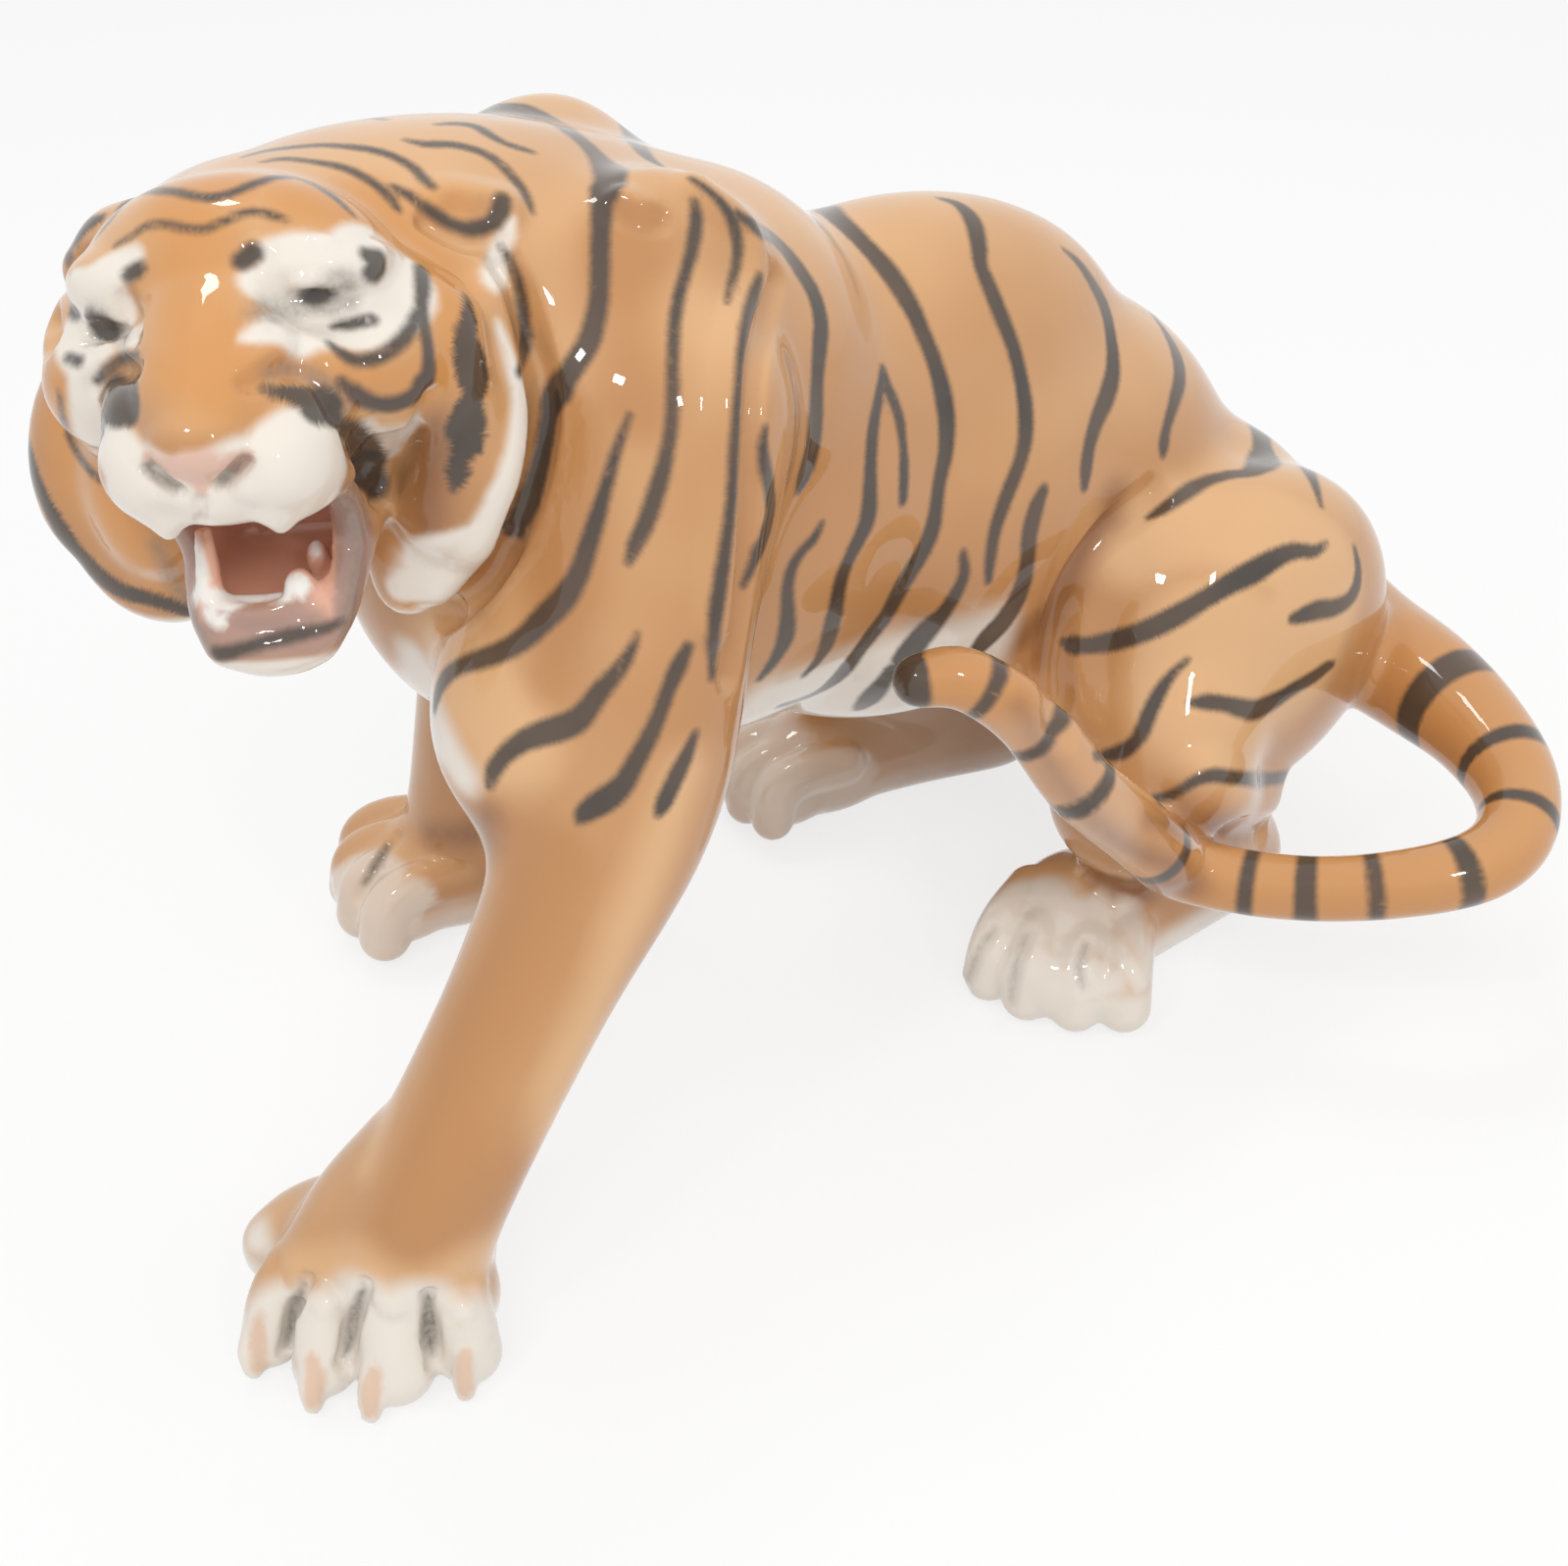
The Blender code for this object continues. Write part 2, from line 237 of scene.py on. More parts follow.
def addLegs(clay):
    tube(clay, [
        (2, -27, 138, 22), (-8, -35, 112, 20), (-16, -42, 84, 17), (-34, -47, 60, 13.6),
        (-53, -52, 38, 13), (-62, -51, 22, 14), (-64, -52, 12, 13),
    ])
    tube(clay, [(-18, -29, 110, 15), (-24, -33, 96, 17.5), (-22, -39, 81, 14)])
    tube(clay, [
        (2, 27, 138, 22), (4, 35, 112, 20.5), (6, 39, 88, 18), (5, 42, 64, 15.5),
        (1, 44, 42, 14), (-2, 46, 22, 14), (-6, 48, 12, 13),
    ])
    ball(clay, (125, -33, 61), (37, 21, 36))
    ball(clay, (92, -20, 60), (18, 14, 18))
    tube(clay, [(134, -12, 72, 24), (107, -36, 56, 21), (94, -43, 42, 17)])
    tube(clay, [(94, -43, 42, 17), (110, -41, 28, 14.5), (128, -38, 14, 11)])
    tube(clay, [(129, -38, 10, 11), (110, -40, 11, 11.5), (90, -42, 12, 12)])
    ball(clay, (123, 31, 62), (37, 21, 37))
    ball(clay, (88, 20, 60), (18, 14, 18))
    tube(clay, [(134, 12, 72, 24), (105, 36, 56, 21), (86, 42, 42, 16.5)])
    tube(clay, [(86, 42, 42, 16.5), (102, 36, 28, 14), (118, 29, 15, 11)])
    tube(clay, [(120, 28, 10, 11), (98, 33, 10.5, 11), (80, 36, 11, 11.5)])


tailKnots = [
    (150, 2, 58, 16), (163, -14, 51, 14), (163, -34, 48, 12.6), (160, -53, 49, 11.6),
    (157.5, -69, 48, 9.8), (151.5, -84, 46, 8.4), (141, -93.5, 44, 7.4), (129, -94.5, 42, 6.9),
    (113.5, -86, 39.2, 6.4), (101.5, -74, 36.8, 6.3), (91, -61, 37, 6.5), (83, -62, 45, 6.8),
    (74.6, -62, 54.4, 6.8), (64, -60, 66, 6.6), (55.9, -54, 79.5, 6), (47, -48, 87, 5.6),
    (40, -45, 87.3, 5),
]


def addHead(clay):
    ball(clay, (-8, 0, -4), (26, 29, 25.5), frame=headFrame)
    ball(clay, (10, 0, 4), (16, 23, 15.5), frame=headFrame)
    ball(clay, (12, 0, -14), (20, 20, 14), frame=headFrame)
    ball(clay, (-2, 0, -28), (13, 13, 14), frame=headFrame)
    for side in (-1, 1):
        ball(clay, (6, 20 * side, -8), (14, 12, 15), frame=headFrame)
        ball(clay, (-5, 23 * side, -26), (11, 11, 17), frame=headFrame)
    ball(clay, (-8, 27, -18), (9, 12, 24), turn=(18, 0, 0), frame=headFrame)
    ball(clay, (-2.5, 26.5, -17), (9.5, 9.5, 19), turn=(10, 0, 0), frame=headFrame)
    ball(clay, (-8, 19, -36), (8, 9, 17), turn=(-24, 0, 0), frame=headFrame)
    ball(clay, (-10, -31, -22), (9, 13, 20), turn=(-14, 0, 0), frame=headFrame)
    ball(clay, (-10, -26, -37), (8, 13, 15), turn=(34, 0, 0), frame=headFrame)


def addFace(clay):
    broad = headFrame @ Matrix.Diagonal((1, 1.3, 1, 1))
    tube(clay, [(6, 0, 2, 9), (18, 0, 0.6, 9.4), (27, 0, -5.4, 9), (34.5, 0, -11.4, 7.6),
                (38.6, 0, -14.6, 5.4)], frame=broad)
    for at, size in (((24, 0, -16), (17, 17, 11)), ((32.5, 0.5, -23.5), (5.5, 8.5, 4))):
        ball(clay, at, size, frame=headFrame)
    for side in (-1, 1):
        ball(clay, (15, 12.5 * side, 5), (9.5, 11, 6.5), frame=headFrame)
        ball(clay, (12, 19 * side, -9), (13, 11, 11), frame=headFrame)
        ball(clay, (19, 12 * side, -8), (9, 9, 7), frame=headFrame)
        ball(clay, (24, 8.5 * side, -13), (13, 9, 8), frame=headFrame)
        ball(clay, (27.5, 8.3 * side, -18.7), (13.5, 9.3, 9), frame=headFrame)
        ball(clay, (19.5, 15.4 * side, 0.8), (3.4, 4.2, 2.8), frame=headFrame)
        tube(clay, [(34, 7.5 * side, -25, 3), (30, 11 * side, -24, 3.4), (24, 14 * side, -22, 3.4)],
             frame=headFrame)
        tube(clay, [(33, 7.8 * side, -25, 3), (33.2, 8 * side, -27.8, 1.7)], frame=headFrame)
    tube(clay, [(-6, 20, 9, 7.4), (-9, 27, 9.6, 6.8), (-11, 34, 8.8, 5.6)], frame=headFrame)
    tube(clay, [(-8, -19, 9, 7), (-10, -24, 8, 6.8), (-12, -29, 5, 5.4)], frame=headFrame)


def addJaw(clay):
    for side in (-1, 1):
        tube(clay, [(-2, 11 * side, -25, 7), (8, 10.6 * side, -34, 4.6),
                    (16, 9 * side, -42.5, 4.2), (19.5, 6 * side, -47, 4.6)], frame=headFrame)
        tube(clay, [(22, 12.4 * side, -23, 3), (15.5, 12.6 * side, -28, 2.8),
                    (11, 11.6 * side, -35, 2.8)], frame=headFrame)
    ball(clay, (7, 0, -37), (14, 11.5, 10.5), turn=(0, 42, 0), frame=headFrame)
    ball(clay, (17, 0, -48.5), (7.5, 9.5, 5), frame=headFrame)


def hollowMouth(skin):
    hollow = []
    block(hollow, (10.5, 0, -33.2), (9.5, 9.2, 7), (0, 22, 0), 3.2, frame=headFrame)
    block(hollow, (24, 0, -35.8), (12, 8.2, 5.4), (0, 8, 0), 3.2, frame=headFrame)
    for cutter in hollow:
        cut = skin.modifiers.new("cut", "BOOLEAN")
        cut.operation = "DIFFERENCE"
        cut.solver = "MANIFOLD"
        cut.object = cutter
        selectOnly(skin)
        bpy.ops.object.modifier_apply(modifier="cut")
        bpy.data.objects.remove(cutter)


def addTeeth(clay):
    tube(clay, [(19.6, -8.2, -42, 2), (21.2, -3, -43, 1.8), (21.2, 2.5, -42.8, 1.8),
                (19.8, 6.2, -41.6, 2)], frame=headFrame)
    ball(clay, (19.8, 5.4, -40), (2.5, 2.5, 3.4), frame=headFrame)
    tube(clay, [(19, -8.6, -42, 2.4), (18.5, -8.4, -36, 1.9), (18, -8.4, -31, 1.5)],
         frame=headFrame)
    ball(clay, (10, 5.8, -37.5), (2.2, 1.9, 3), frame=headFrame)


def addPawMass(clay, at, heading, width):
    paw = pawFrame(at, heading)
    ball(clay, (-8, 0, 11), (19, width * 0.4, 12.5), frame=paw)
    ball(clay, (3, 0, 9.2), (13.2, width * 0.46, 10), frame=paw)


def addClawedMass(clay, at, heading):
    paw = pawFrame(at, heading)
    ball(clay, (-8, -1, 13), (17, 15.5, 15.5), frame=paw)
    ball(clay, (-1, 0, 11), (12, 17.5, 10.5), frame=paw)
    ball(clay, (-5, 1, 22), (11, 15.5, 12), turn=(0, -30, 0), frame=paw)
    tube(clay, [(-8, 5, 33, 11.5), (-4, -4, 25, 10), (1, -11, 17, 8)], frame=paw)
    tube(clay, [(-9, -11, 17, 8), (-9, -17, 14, 7.6), (-7.5, -21.8, 10.5, 7)], frame=paw)


def addPaw(clay, at, heading, width):
    paw = pawFrame(at, heading)
    scale = width / tiger["toeSpreadWidth"]
    for spread in tiger["toeSpread"]:
        side = spread * scale
        reach = -3 if abs(spread) > 10 else 0
        tube(clay, [
            (-6 + reach, side * 0.75, 15, 5.5), (4 + reach, side * 0.9, 15.5, 5),
            (9.5 + reach, side * 0.96, 12.5, 5.2), (11 + reach, side, 6.2, 6.2 * scale),
        ], frame=paw)


def addClawedPaw(clay, at, heading):
    paw = pawFrame(at, heading)
    for toe, claw in tiger["clawedToes"]:
        tube(clay, toe, frame=paw)
        tube(clay, claw, frame=paw)


def readSkin(mesh):  # the places and normals of all its points
    count = 3 * len(mesh.vertices)
    points, normals = np.empty(count), np.empty(count)
    mesh.vertices.foreach_get("co", points)
    mesh.vertices.foreach_get("normal", normals)
    return points.reshape(-1, 3), normals.reshape(-1, 3)


def growTree(mesh, points):  # finds where a line meets the skin, or what lies nearest
    return BVHTree.FromPolygons(points.tolist(), [face.vertices for face in mesh.polygons])


def press(mesh, at, radius, depth, frame=Matrix()):  # pushes the skin in as a fingertip does
    points, normals = readSkin(mesh)
    gap = np.linalg.norm(points - np.array(frame @ Vector(at)), axis=1) / radius
    push = depth * np.clip(1 - gap**2, 0, 1) ** 2
    mesh.vertices.foreach_set("co", (points - normals * push[:, None]).ravel())
    mesh.update()


sight = Vector(picture["look"]).normalized()
sightRight = sight.cross(Vector((0, 0, 1))).normalized()
sightUp = sightRight.cross(sight)
pixel = picture["sensor"] / picture["lens"] / picture["across"]


def throw(tree, x, y):  # where the sight line of a picture point meets the skin
    way = sight + sightRight * ((x - picture["across"] / 2) * pixel)
    way -= sightUp * ((y - picture["down"] / 2) * pixel)
    return tree.ray_cast(Vector(picture["eye"]), way.normalized())


def traceStroke(tree, knots, steps=8, jump=5.0):  # brush strokes on the skin from picture points
    runs, run, last = [], [], None
    for x, y, half in smoothPath(knots, steps):
        spot, normal, face, distance = throw(tree, x, y)
        if spot is None or (last is not None and (spot - last).length > jump):
            runs.append(run)
            run = []
        last = spot
        if spot is not None:
            slant = min(1.0, max(0.35, abs(normal.dot(sight)))) ** 0.7
            run.append((*spot, *normal, max(half, 0.3) * distance * pixel / slant))
    runs.append(run)
    return [np.array(run) for run in runs if len(run) > 3]


fingerPresses = [  # place in the head's frame, radius and depth
    ((20, -22, -14), 8, 1.2), ((12, -20, -20), 6, 2), ((20, 22, -14), 8, 1.2),
    ((12, 20, -20), 6, 2), ((-4, -27, 5), 5, 2),
]

# Modelling tool strokes: depth and width in mm (a depth below 0 raises), then picture points.
toolStrokes = [
    (1.6, 4.6, [(285, 308), (315, 308), (345, 300)]),  # eyes in their sockets
    (-1.2, 1.8, [(300, 291), (322, 289), (345, 293)]),
    (-0.8, 1.5, [(305, 313), (324, 315), (343, 309)]),
    (1.2, 2.6, [(96, 342), (108, 346), (124, 344)]),
    (-0.8, 1.6, [(92, 322), (108, 317), (126, 325)]),
    (-0.6, 1.4, [(98, 352), (112, 355), (128, 350)]),
    (1.0, 2.4, [(128, 305), (139, 325), (138, 348)]),
    (-0.5, 2.0, [(262, 248), (272, 250)]),  # knobs on the brow
    (-0.5, 2.0, [(325, 246), (335, 247)]),
    (-0.6, 2.2, [(388, 254), (400, 258)]),
    (1.9, 1.5, [(152, 478), (165, 489), (182, 499)]),  # nostrils and the groove below
    (1.9, 1.5, [(251, 470), (240, 482), (226, 495)]),
    (-0.7, 3.5, [(165, 500), (205, 510), (245, 500)]),
    (1.0, 1.4, [(205, 508), (206, 526), (204, 545)]),
    (1.2, 2.4, [(252, 392), (290, 378), (322, 390), (342, 422)]),  # snarl folds
    (-1.2, 4.0, [(262, 370), (300, 352), (345, 381), (358, 425)]),
    (1.2, 2.4, [(97, 392), (112, 380), (138, 376)]),
    (-0.9, 3.5, [(86, 376), (104, 362), (135, 352)]),
    (1.0, 4.5, [(356, 445), (371, 470), (383, 495)]),  # corner of the mouth
    (1.2, 2.6, [(441, 405), (425, 440), (402, 480), (388, 510)]),  # cheek to ruff
    (-2.2, 9.0, [(476, 330), (482, 400), (470, 470), (450, 540)]),
    (3.2, 3.6, [(514, 268), (533, 310), (551, 400), (549, 450), (533, 512), (497, 588),
                (452, 628)]),
    (-1.8, 5.0, [(498, 300), (528, 400), (522, 470), (497, 545), (450, 600)]),
    (1.8, 2.6, [(436, 226), (462, 240), (486, 247), (508, 243)]),  # under the ear
    (1.4, 4.0, [(470, 215), (490, 222), (503, 215)]),
    (2.0, 3.0, [(62, 265), (52, 300), (52, 350)]),
    (1.6, 2.3, [(312, 1306), (302, 1335), (292, 1378)]),  # between the toes
    (1.6, 2.3, [(372, 1312), (361, 1345), (350, 1388)]),
    (1.6, 2.3, [(437, 1322), (438, 1350), (440, 1390)]),
    (-1.1, 3.2, [(326, 1320), (332, 1330)]),
    (-1.1, 3.2, [(393, 1324), (398, 1334)]),
    (-1.0, 3.0, [(466, 1328), (473, 1336)]),
    (-0.8, 3.0, [(388, 1096), (402, 1104)]),
    (0.7, 2.4, [(1012, 948), (998, 970), (984, 1005)]),
    (0.7, 2.4, [(1048, 952), (1036, 985), (1030, 1022)]),
    (0.7, 2.4, [(1110, 962), (1101, 985), (1108, 1010)]),
    (0.9, 2.6, [(404, 855), (386, 880), (368, 915)]),
    (-1.2, 4.0, [(1262, 845), (1285, 850)]),  # heel
    (2.6, 5.0, [(1175, 505), (1123, 549), (1086, 603), (1074, 672), (1082, 745)]),  # haunch
    (-1.6, 8.0, [(1195, 522), (1142, 562), (1106, 612), (1094, 672), (1098, 725)]),
    (2.6, 5.0, [(1246, 850), (1300, 846), (1352, 820), (1396, 752)]),
    (-3.0, 9.0, [(1226, 800), (1255, 812), (1290, 812), (1335, 790), (1372, 745)]),
    (2.2, 3.4, [(792, 283), (780, 323), (770, 370), (764, 463), (760, 557), (752, 637),
                (744, 690)]),  # shoulder blade
    (-1.6, 5.0, [(713, 192), (760, 232), (770, 283), (758, 323), (748, 370), (743, 463), (738, 557),
                 (730, 637)]),
    (-1.2, 4.0, [(636, 203), (652, 212)]),
    (1.0, 3.0, [(628, 216), (650, 226), (672, 226)]),
]


def carve(skin):
    mesh = skin.data
    points, normals = readSkin(mesh)
    tree = growTree(mesh, points)
    moved = points.copy()
    for depth, width, places in toolStrokes:
        for run in traceStroke(tree, [(*place, 1) for place in places]):
            run[:, 6] = 0
            field, along = strokeField(points, normals, [run], reach=width + 1)
            push = depth * np.clip(1 - (field / width) ** 2, 0, 1) ** 2
            moved -= normals * push[:, None]
    mesh.vertices.foreach_set("co", moved.ravel())
    mesh.update()
    print("carved", len(toolStrokes), "strokes")


def makeBody():
    clay = []
    addTorso(clay)
    addLegs(clay)
    skin = fuse(clay, tiger["bodyGrain"], tiger["bodySmoothing"])
    print("body fused")
    clay = [skin]
    addHead(clay)
    tube(clay, tailKnots)
    addClawedMass(clay, *tiger["clawedPaw"])
    for at, heading, width in tiger["paws"]:
        addPawMass(clay, at, heading, width)
    skin = fuse(clay, tiger["neckGrain"], tiger["neckSmoothing"])
    print("head and tail fused")
    clay = [skin]
    addFace(clay)
    addJaw(clay)
    skin = fuse(clay, tiger["faceGrain"], tiger["faceSmoothing"])
    hollowMouth(skin)
    print("mouth hollowed", len(skin.data.polygons))
    clay = [skin]
    addTeeth(clay)
    addClawedPaw(clay, *tiger["clawedPaw"])
    for at, heading, width in tiger["paws"]:
        addPaw(clay, at, heading, width)
    skin = fuse(clay, tiger["skinGrain"], tiger["skinSmoothing"])
    skin.name = skin.data.name = "porcelainTiger"
    for at, radius, depth in fingerPresses:
        press(skin.data, at, radius, depth, headFrame)
    carve(skin)
    print("face, jaw and paws fused", len(skin.data.polygons))
    return skin


def mirrorStroke(tree, run, edge=10.0):  # the same stroke on the tiger's other side
    flipped = []
    for row in run:
        if -row[1] < edge:
            continue
        spot, normal, face, distance = tree.find_nearest(Vector((row[0], -row[1], row[2])))
        flipped.append((*spot, *normal, row[6]))
    return np.array(flipped)


def layStroke(tree, knots):  # a stroke through places in millimetres, laid on the skin
    run = []
    for *place, half in smoothPath(knots):
        spot, normal, face, distance = tree.find_nearest(Vector(place))
        run.append((*spot, *normal, half))
    return np.array(run)


def strokeField(points, normals, runs, reach=6.0, low=-9.0, apart=37.0):
    # How deep each point lies in a stroke, below 0 outside, and how far along it, in mm.
    field, along, start = np.full(len(points), low), np.zeros(len(points)), 0.0
    for run in runs:
        margin = run[:, 6].max() + reach
        least, most = run[:, :3].min(0) - margin, run[:, :3].max(0) + margin
        near = np.flatnonzero(((points > least) & (points < most)).all(1))
        here, facingUp = points[near], normals[near]
        for a, b in zip(run, run[1:]):
            step = b[:3] - a[:3]
            size = step @ step + 1e-9
            t = np.clip((here - a[:3]) @ step / size, 0, 1)
            gap = np.linalg.norm(here - a[:3] - t[:, None] * step, axis=1)
            inside = a[6] + t * (b[6] - a[6]) - gap
            inside -= 6 * np.clip(0.1 - facingUp @ a[3:6], 0, 1)
            won = inside > field[near]
            field[near[won]] = inside[won]
            along[near[won]] = start + t[won] * math.sqrt(size)
            start += math.sqrt(size)
        start += apart
    return field, along


# Brush strokes: picture points with the brush's half width there, in picture pixels.
flankStripes = [
    [(465, 114, 1), (490, 109, 2), (515, 107, 3), (535, 109, 4), (555, 118, 5), (575, 130, 6),
     (595, 145, 6), (610, 160, 7), (622, 175, 10), (620, 190, 12), (614, 205, 10), (613, 225, 9),
     (612, 250, 9), (611, 300, 9), (606, 330, 10), (599, 352, 11), (583, 377, 11), (569, 400, 10),
     (561, 425, 9), (556, 455, 9), (549, 485, 10), (540, 512, 12), (528, 532, 9), (520, 542, 4)],
    [(708, 206, 3), (710, 225, 6), (706, 252, 6), (700, 275, 5), (693, 300, 5), (688, 330, 5),
     (686, 370, 5), (686, 400, 6), (685, 430, 6), (682, 450, 6), (677, 475, 7), (670, 500, 8),
     (660, 530, 8), (648, 555, 7), (641, 573, 3)],
    [(642, 424, 2), (632, 450, 4), (624, 475, 5), (617, 500, 6), (608, 530, 8), (600, 555, 9),
     (590, 585, 10), (575, 610, 12), (555, 630, 12), (535, 650, 11), (512, 664, 10), (490, 672, 9),
     (468, 680, 7), (453, 692, 7), (446, 706, 6), (443, 722, 3)],
    [(650, 648, 2), (641, 668, 5), (628, 687, 7), (612, 705, 9), (600, 722, 10), (588, 735, 12),
     (570, 743, 13), (550, 749, 12), (530, 758, 10), (514, 771, 8), (503, 786, 7), (499, 802, 3)],
    [(701, 661, 5), (692, 680, 8), (682, 702, 7), (673, 727, 7), (662, 752, 8), (649, 776, 9),
     (638, 796, 10), (625, 810, 12), (610, 820, 12), (597, 829, 9), (590, 837, 3)],
    [(709, 748, 3), (701, 768, 6), (693, 785, 8), (685, 802, 8), (678, 817, 8), (672, 829, 4)],
    [(705, 182, 2), (720, 192, 3), (735, 206, 4), (747, 225, 5), (752, 250, 5), (750, 272, 4),
     (745, 292, 3), (741, 309, 1)],
    [(775, 282, 3), (769, 303, 5), (761, 335, 5), (756, 365, 4), (753, 400, 4), (750, 450, 5),
     (747, 500, 5), (744, 530, 5), (740, 560, 6), (735, 595, 7), (731, 622, 7), (728, 650, 5),
     (726, 690, 3)],
    [(781, 436, 2), (779, 455, 4), (781, 475, 5), (785, 500, 5), (786, 520, 5), (782, 540, 6),
     (775, 560, 5), (766, 580, 4), (758, 597, 2)],
    [(622, 112, 3), (632, 120, 4), (640, 132, 5), (650, 147, 5), (660, 160, 5), (672, 168, 3)],
    [(445, 127, 1), (465, 126, 3), (485, 129, 4), (500, 138, 4), (515, 146, 3), (530, 151, 3),
     (543, 155, 2)],
    [(415, 143, 2), (435, 147, 4), (455, 147, 4), (475, 150, 4), (495, 157, 4), (510, 167, 4),
     (522, 180, 4), (532, 193, 4), (538, 205, 3), (543, 216, 1)],
    [(248, 160, 1), (270, 154, 3), (300, 150, 3), (330, 148, 3), (360, 150, 4), (380, 153, 4),
     (400, 159, 4), (420, 170, 4), (432, 182, 4), (441, 190, 3)],
    [(510, 250, 1), (520, 266, 3), (528, 286, 4), (533, 310, 5), (535, 335, 5), (533, 360, 4),
     (530, 380, 2)],
]
backStripes = [
    [(752, 218, 3), (770, 230, 5), (785, 240, 6), (800, 255, 7), (815, 275, 8), (830, 300, 8),
     (837, 328, 8), (836, 352, 8), (833, 390, 7), (831, 430, 8), (827, 460, 8), (821, 482, 7),
     (815, 499, 3)],
    [(815, 202, 3), (838, 211, 7), (860, 229, 9), (880, 248, 9), (900, 270, 10), (915, 290, 10),
     (930, 315, 9), (942, 342, 8), (953, 370, 8), (961, 400, 9), (965, 430, 9), (964, 460, 8),
     (958, 490, 7), (954, 520, 7), (950, 540, 8), (942, 560, 8), (930, 580, 8), (918, 600, 8),
     (905, 625, 7), (890, 645, 7), (875, 665, 6), (855, 690, 6), (835, 705, 4), (812, 715, 3),
     (795, 720, 2)],
    [(900, 378, 4), (905, 395, 5), (912, 411, 5), (918, 431, 5), (921, 455, 4), (922, 480, 5),
     (921, 510, 4)],
    [(900, 383, 4), (895, 410, 5), (890, 440, 6), (888, 470, 6), (887, 500, 7), (885, 528, 8),
     (876, 550, 7), (866, 570, 6), (858, 590, 6), (854, 610, 6), (850, 630, 7), (844, 655, 6),
     (835, 672, 4), (821, 688, 2)],
    [(958, 202, 2), (978, 209, 5), (992, 225, 8), (998, 250, 8), (1000, 270, 7), (1010, 295, 8),
     (1020, 320, 8), (1032, 350, 7), (1040, 380, 7), (1045, 410, 8), (1046, 440, 8),
     (1042, 465, 7), (1035, 485, 7), (1025, 510, 7), (1015, 540, 6), (1010, 570, 5),
     (1008, 592, 3)],
    [(1064, 500, 5), (1056, 520, 8), (1050, 545, 8), (1048, 570, 7), (1043, 595, 8),
     (1035, 615, 9), (1022, 635, 10), (1008, 650, 10), (995, 665, 6)],
    [(982, 564, 3), (983, 585, 5), (975, 605, 6), (962, 625, 7), (948, 640, 10), (935, 655, 11),
     (922, 672, 10), (905, 690, 6), (893, 705, 7), (885, 715, 6), (876, 723, 3)],
    [(1084, 254, 1), (1100, 268, 4), (1115, 290, 6), (1127, 315, 7), (1133, 345, 7),
     (1135, 375, 8), (1130, 400, 9), (1120, 425, 8), (1112, 450, 7), (1108, 475, 7),
     (1106, 496, 4)],
    [(838, 534, 2), (830, 549, 4), (818, 562, 4), (808, 578, 5), (803, 600, 5), (803, 625, 6),
     (801, 650, 7), (793, 668, 5), (785, 680, 4), (775, 692, 2)],
    [(1172, 316, 2), (1188, 338, 4), (1200, 362, 7), (1203, 386, 7), (1197, 411, 6),
     (1190, 435, 5), (1187, 452, 6), (1186, 463, 3)],
    [(1255, 398, 2), (1268, 410, 4), (1280, 427, 6), (1287, 450, 7), (1289, 470, 8),
     (1275, 481, 6), (1255, 484, 5), (1235, 489, 5), (1218, 497, 6), (1200, 509, 6),
     (1185, 520, 5), (1171, 528, 2)],
    [(1211, 673, 2), (1195, 688, 4), (1183, 705, 6), (1173, 725, 7), (1165, 745, 7),
     (1158, 756, 6), (1145, 766, 7), (1130, 770, 5), (1117, 771, 3)],
    [(1214, 717, 3), (1230, 716, 7), (1250, 718, 7), (1265, 722, 8), (1280, 724, 8),
     (1300, 715, 7), (1320, 702, 6), (1340, 690, 6), (1352, 681, 5), (1358, 678, 3)],
    [(1318, 631, 4), (1330, 627, 7), (1345, 622, 8), (1360, 620, 7), (1375, 612, 6),
     (1383, 598, 6), (1385, 578, 4), (1381, 558, 2)],
    [(1170, 815, 3), (1190, 812, 4), (1205, 805, 4), (1220, 796, 5), (1237, 791, 6),
     (1260, 793, 5), (1285, 795, 4), (1310, 792, 4), (1330, 785, 5), (1350, 772, 5),
     (1365, 757, 5), (1379, 741, 3)],
    [(1318, 455, 2), (1330, 473, 4), (1340, 492, 4), (1347, 515, 2)],
]
hairyStripes = [
    [(1352, 555, 2), (1340, 562, 5), (1320, 562, 7), (1300, 570, 9), (1280, 582, 11),
     (1255, 595, 10), (1230, 610, 9), (1205, 625, 10), (1180, 638, 10), (1155, 648, 9),
     (1130, 655, 9), (1110, 658, 8), (1093, 658, 7), (1085, 655, 3)],
]
farStripes = [  # on the side away from the camera: x, y, z and half width in mm
    [(-22, 6, 182, 0.6), (-26, 24, 176, 1.3), (-28, 36, 162, 1.4), (-27, 40, 146, 0.8)],
    [(-8, 10, 180, 0.6), (-13, 28, 172, 1.4), (-15, 38, 156, 1.5), (-15, 41, 138, 0.8)],
    [(-38, 12, 180, 0.5), (-41, 26, 172, 1.2), (-42, 34, 158, 1.2), (-40, 37, 146, 0.6)],
    [(-30, 34, 136, 0.7), (-22, 37, 128, 1.4), (-14, 38, 118, 0.8)],
    [(-8, 52, 128, 0.6), (4, 56, 120, 1.4), (14, 54, 108, 0.8)],
    [(-6, 54, 110, 0.6), (2, 56, 104, 1.3), (12, 55, 94, 0.7)],
]
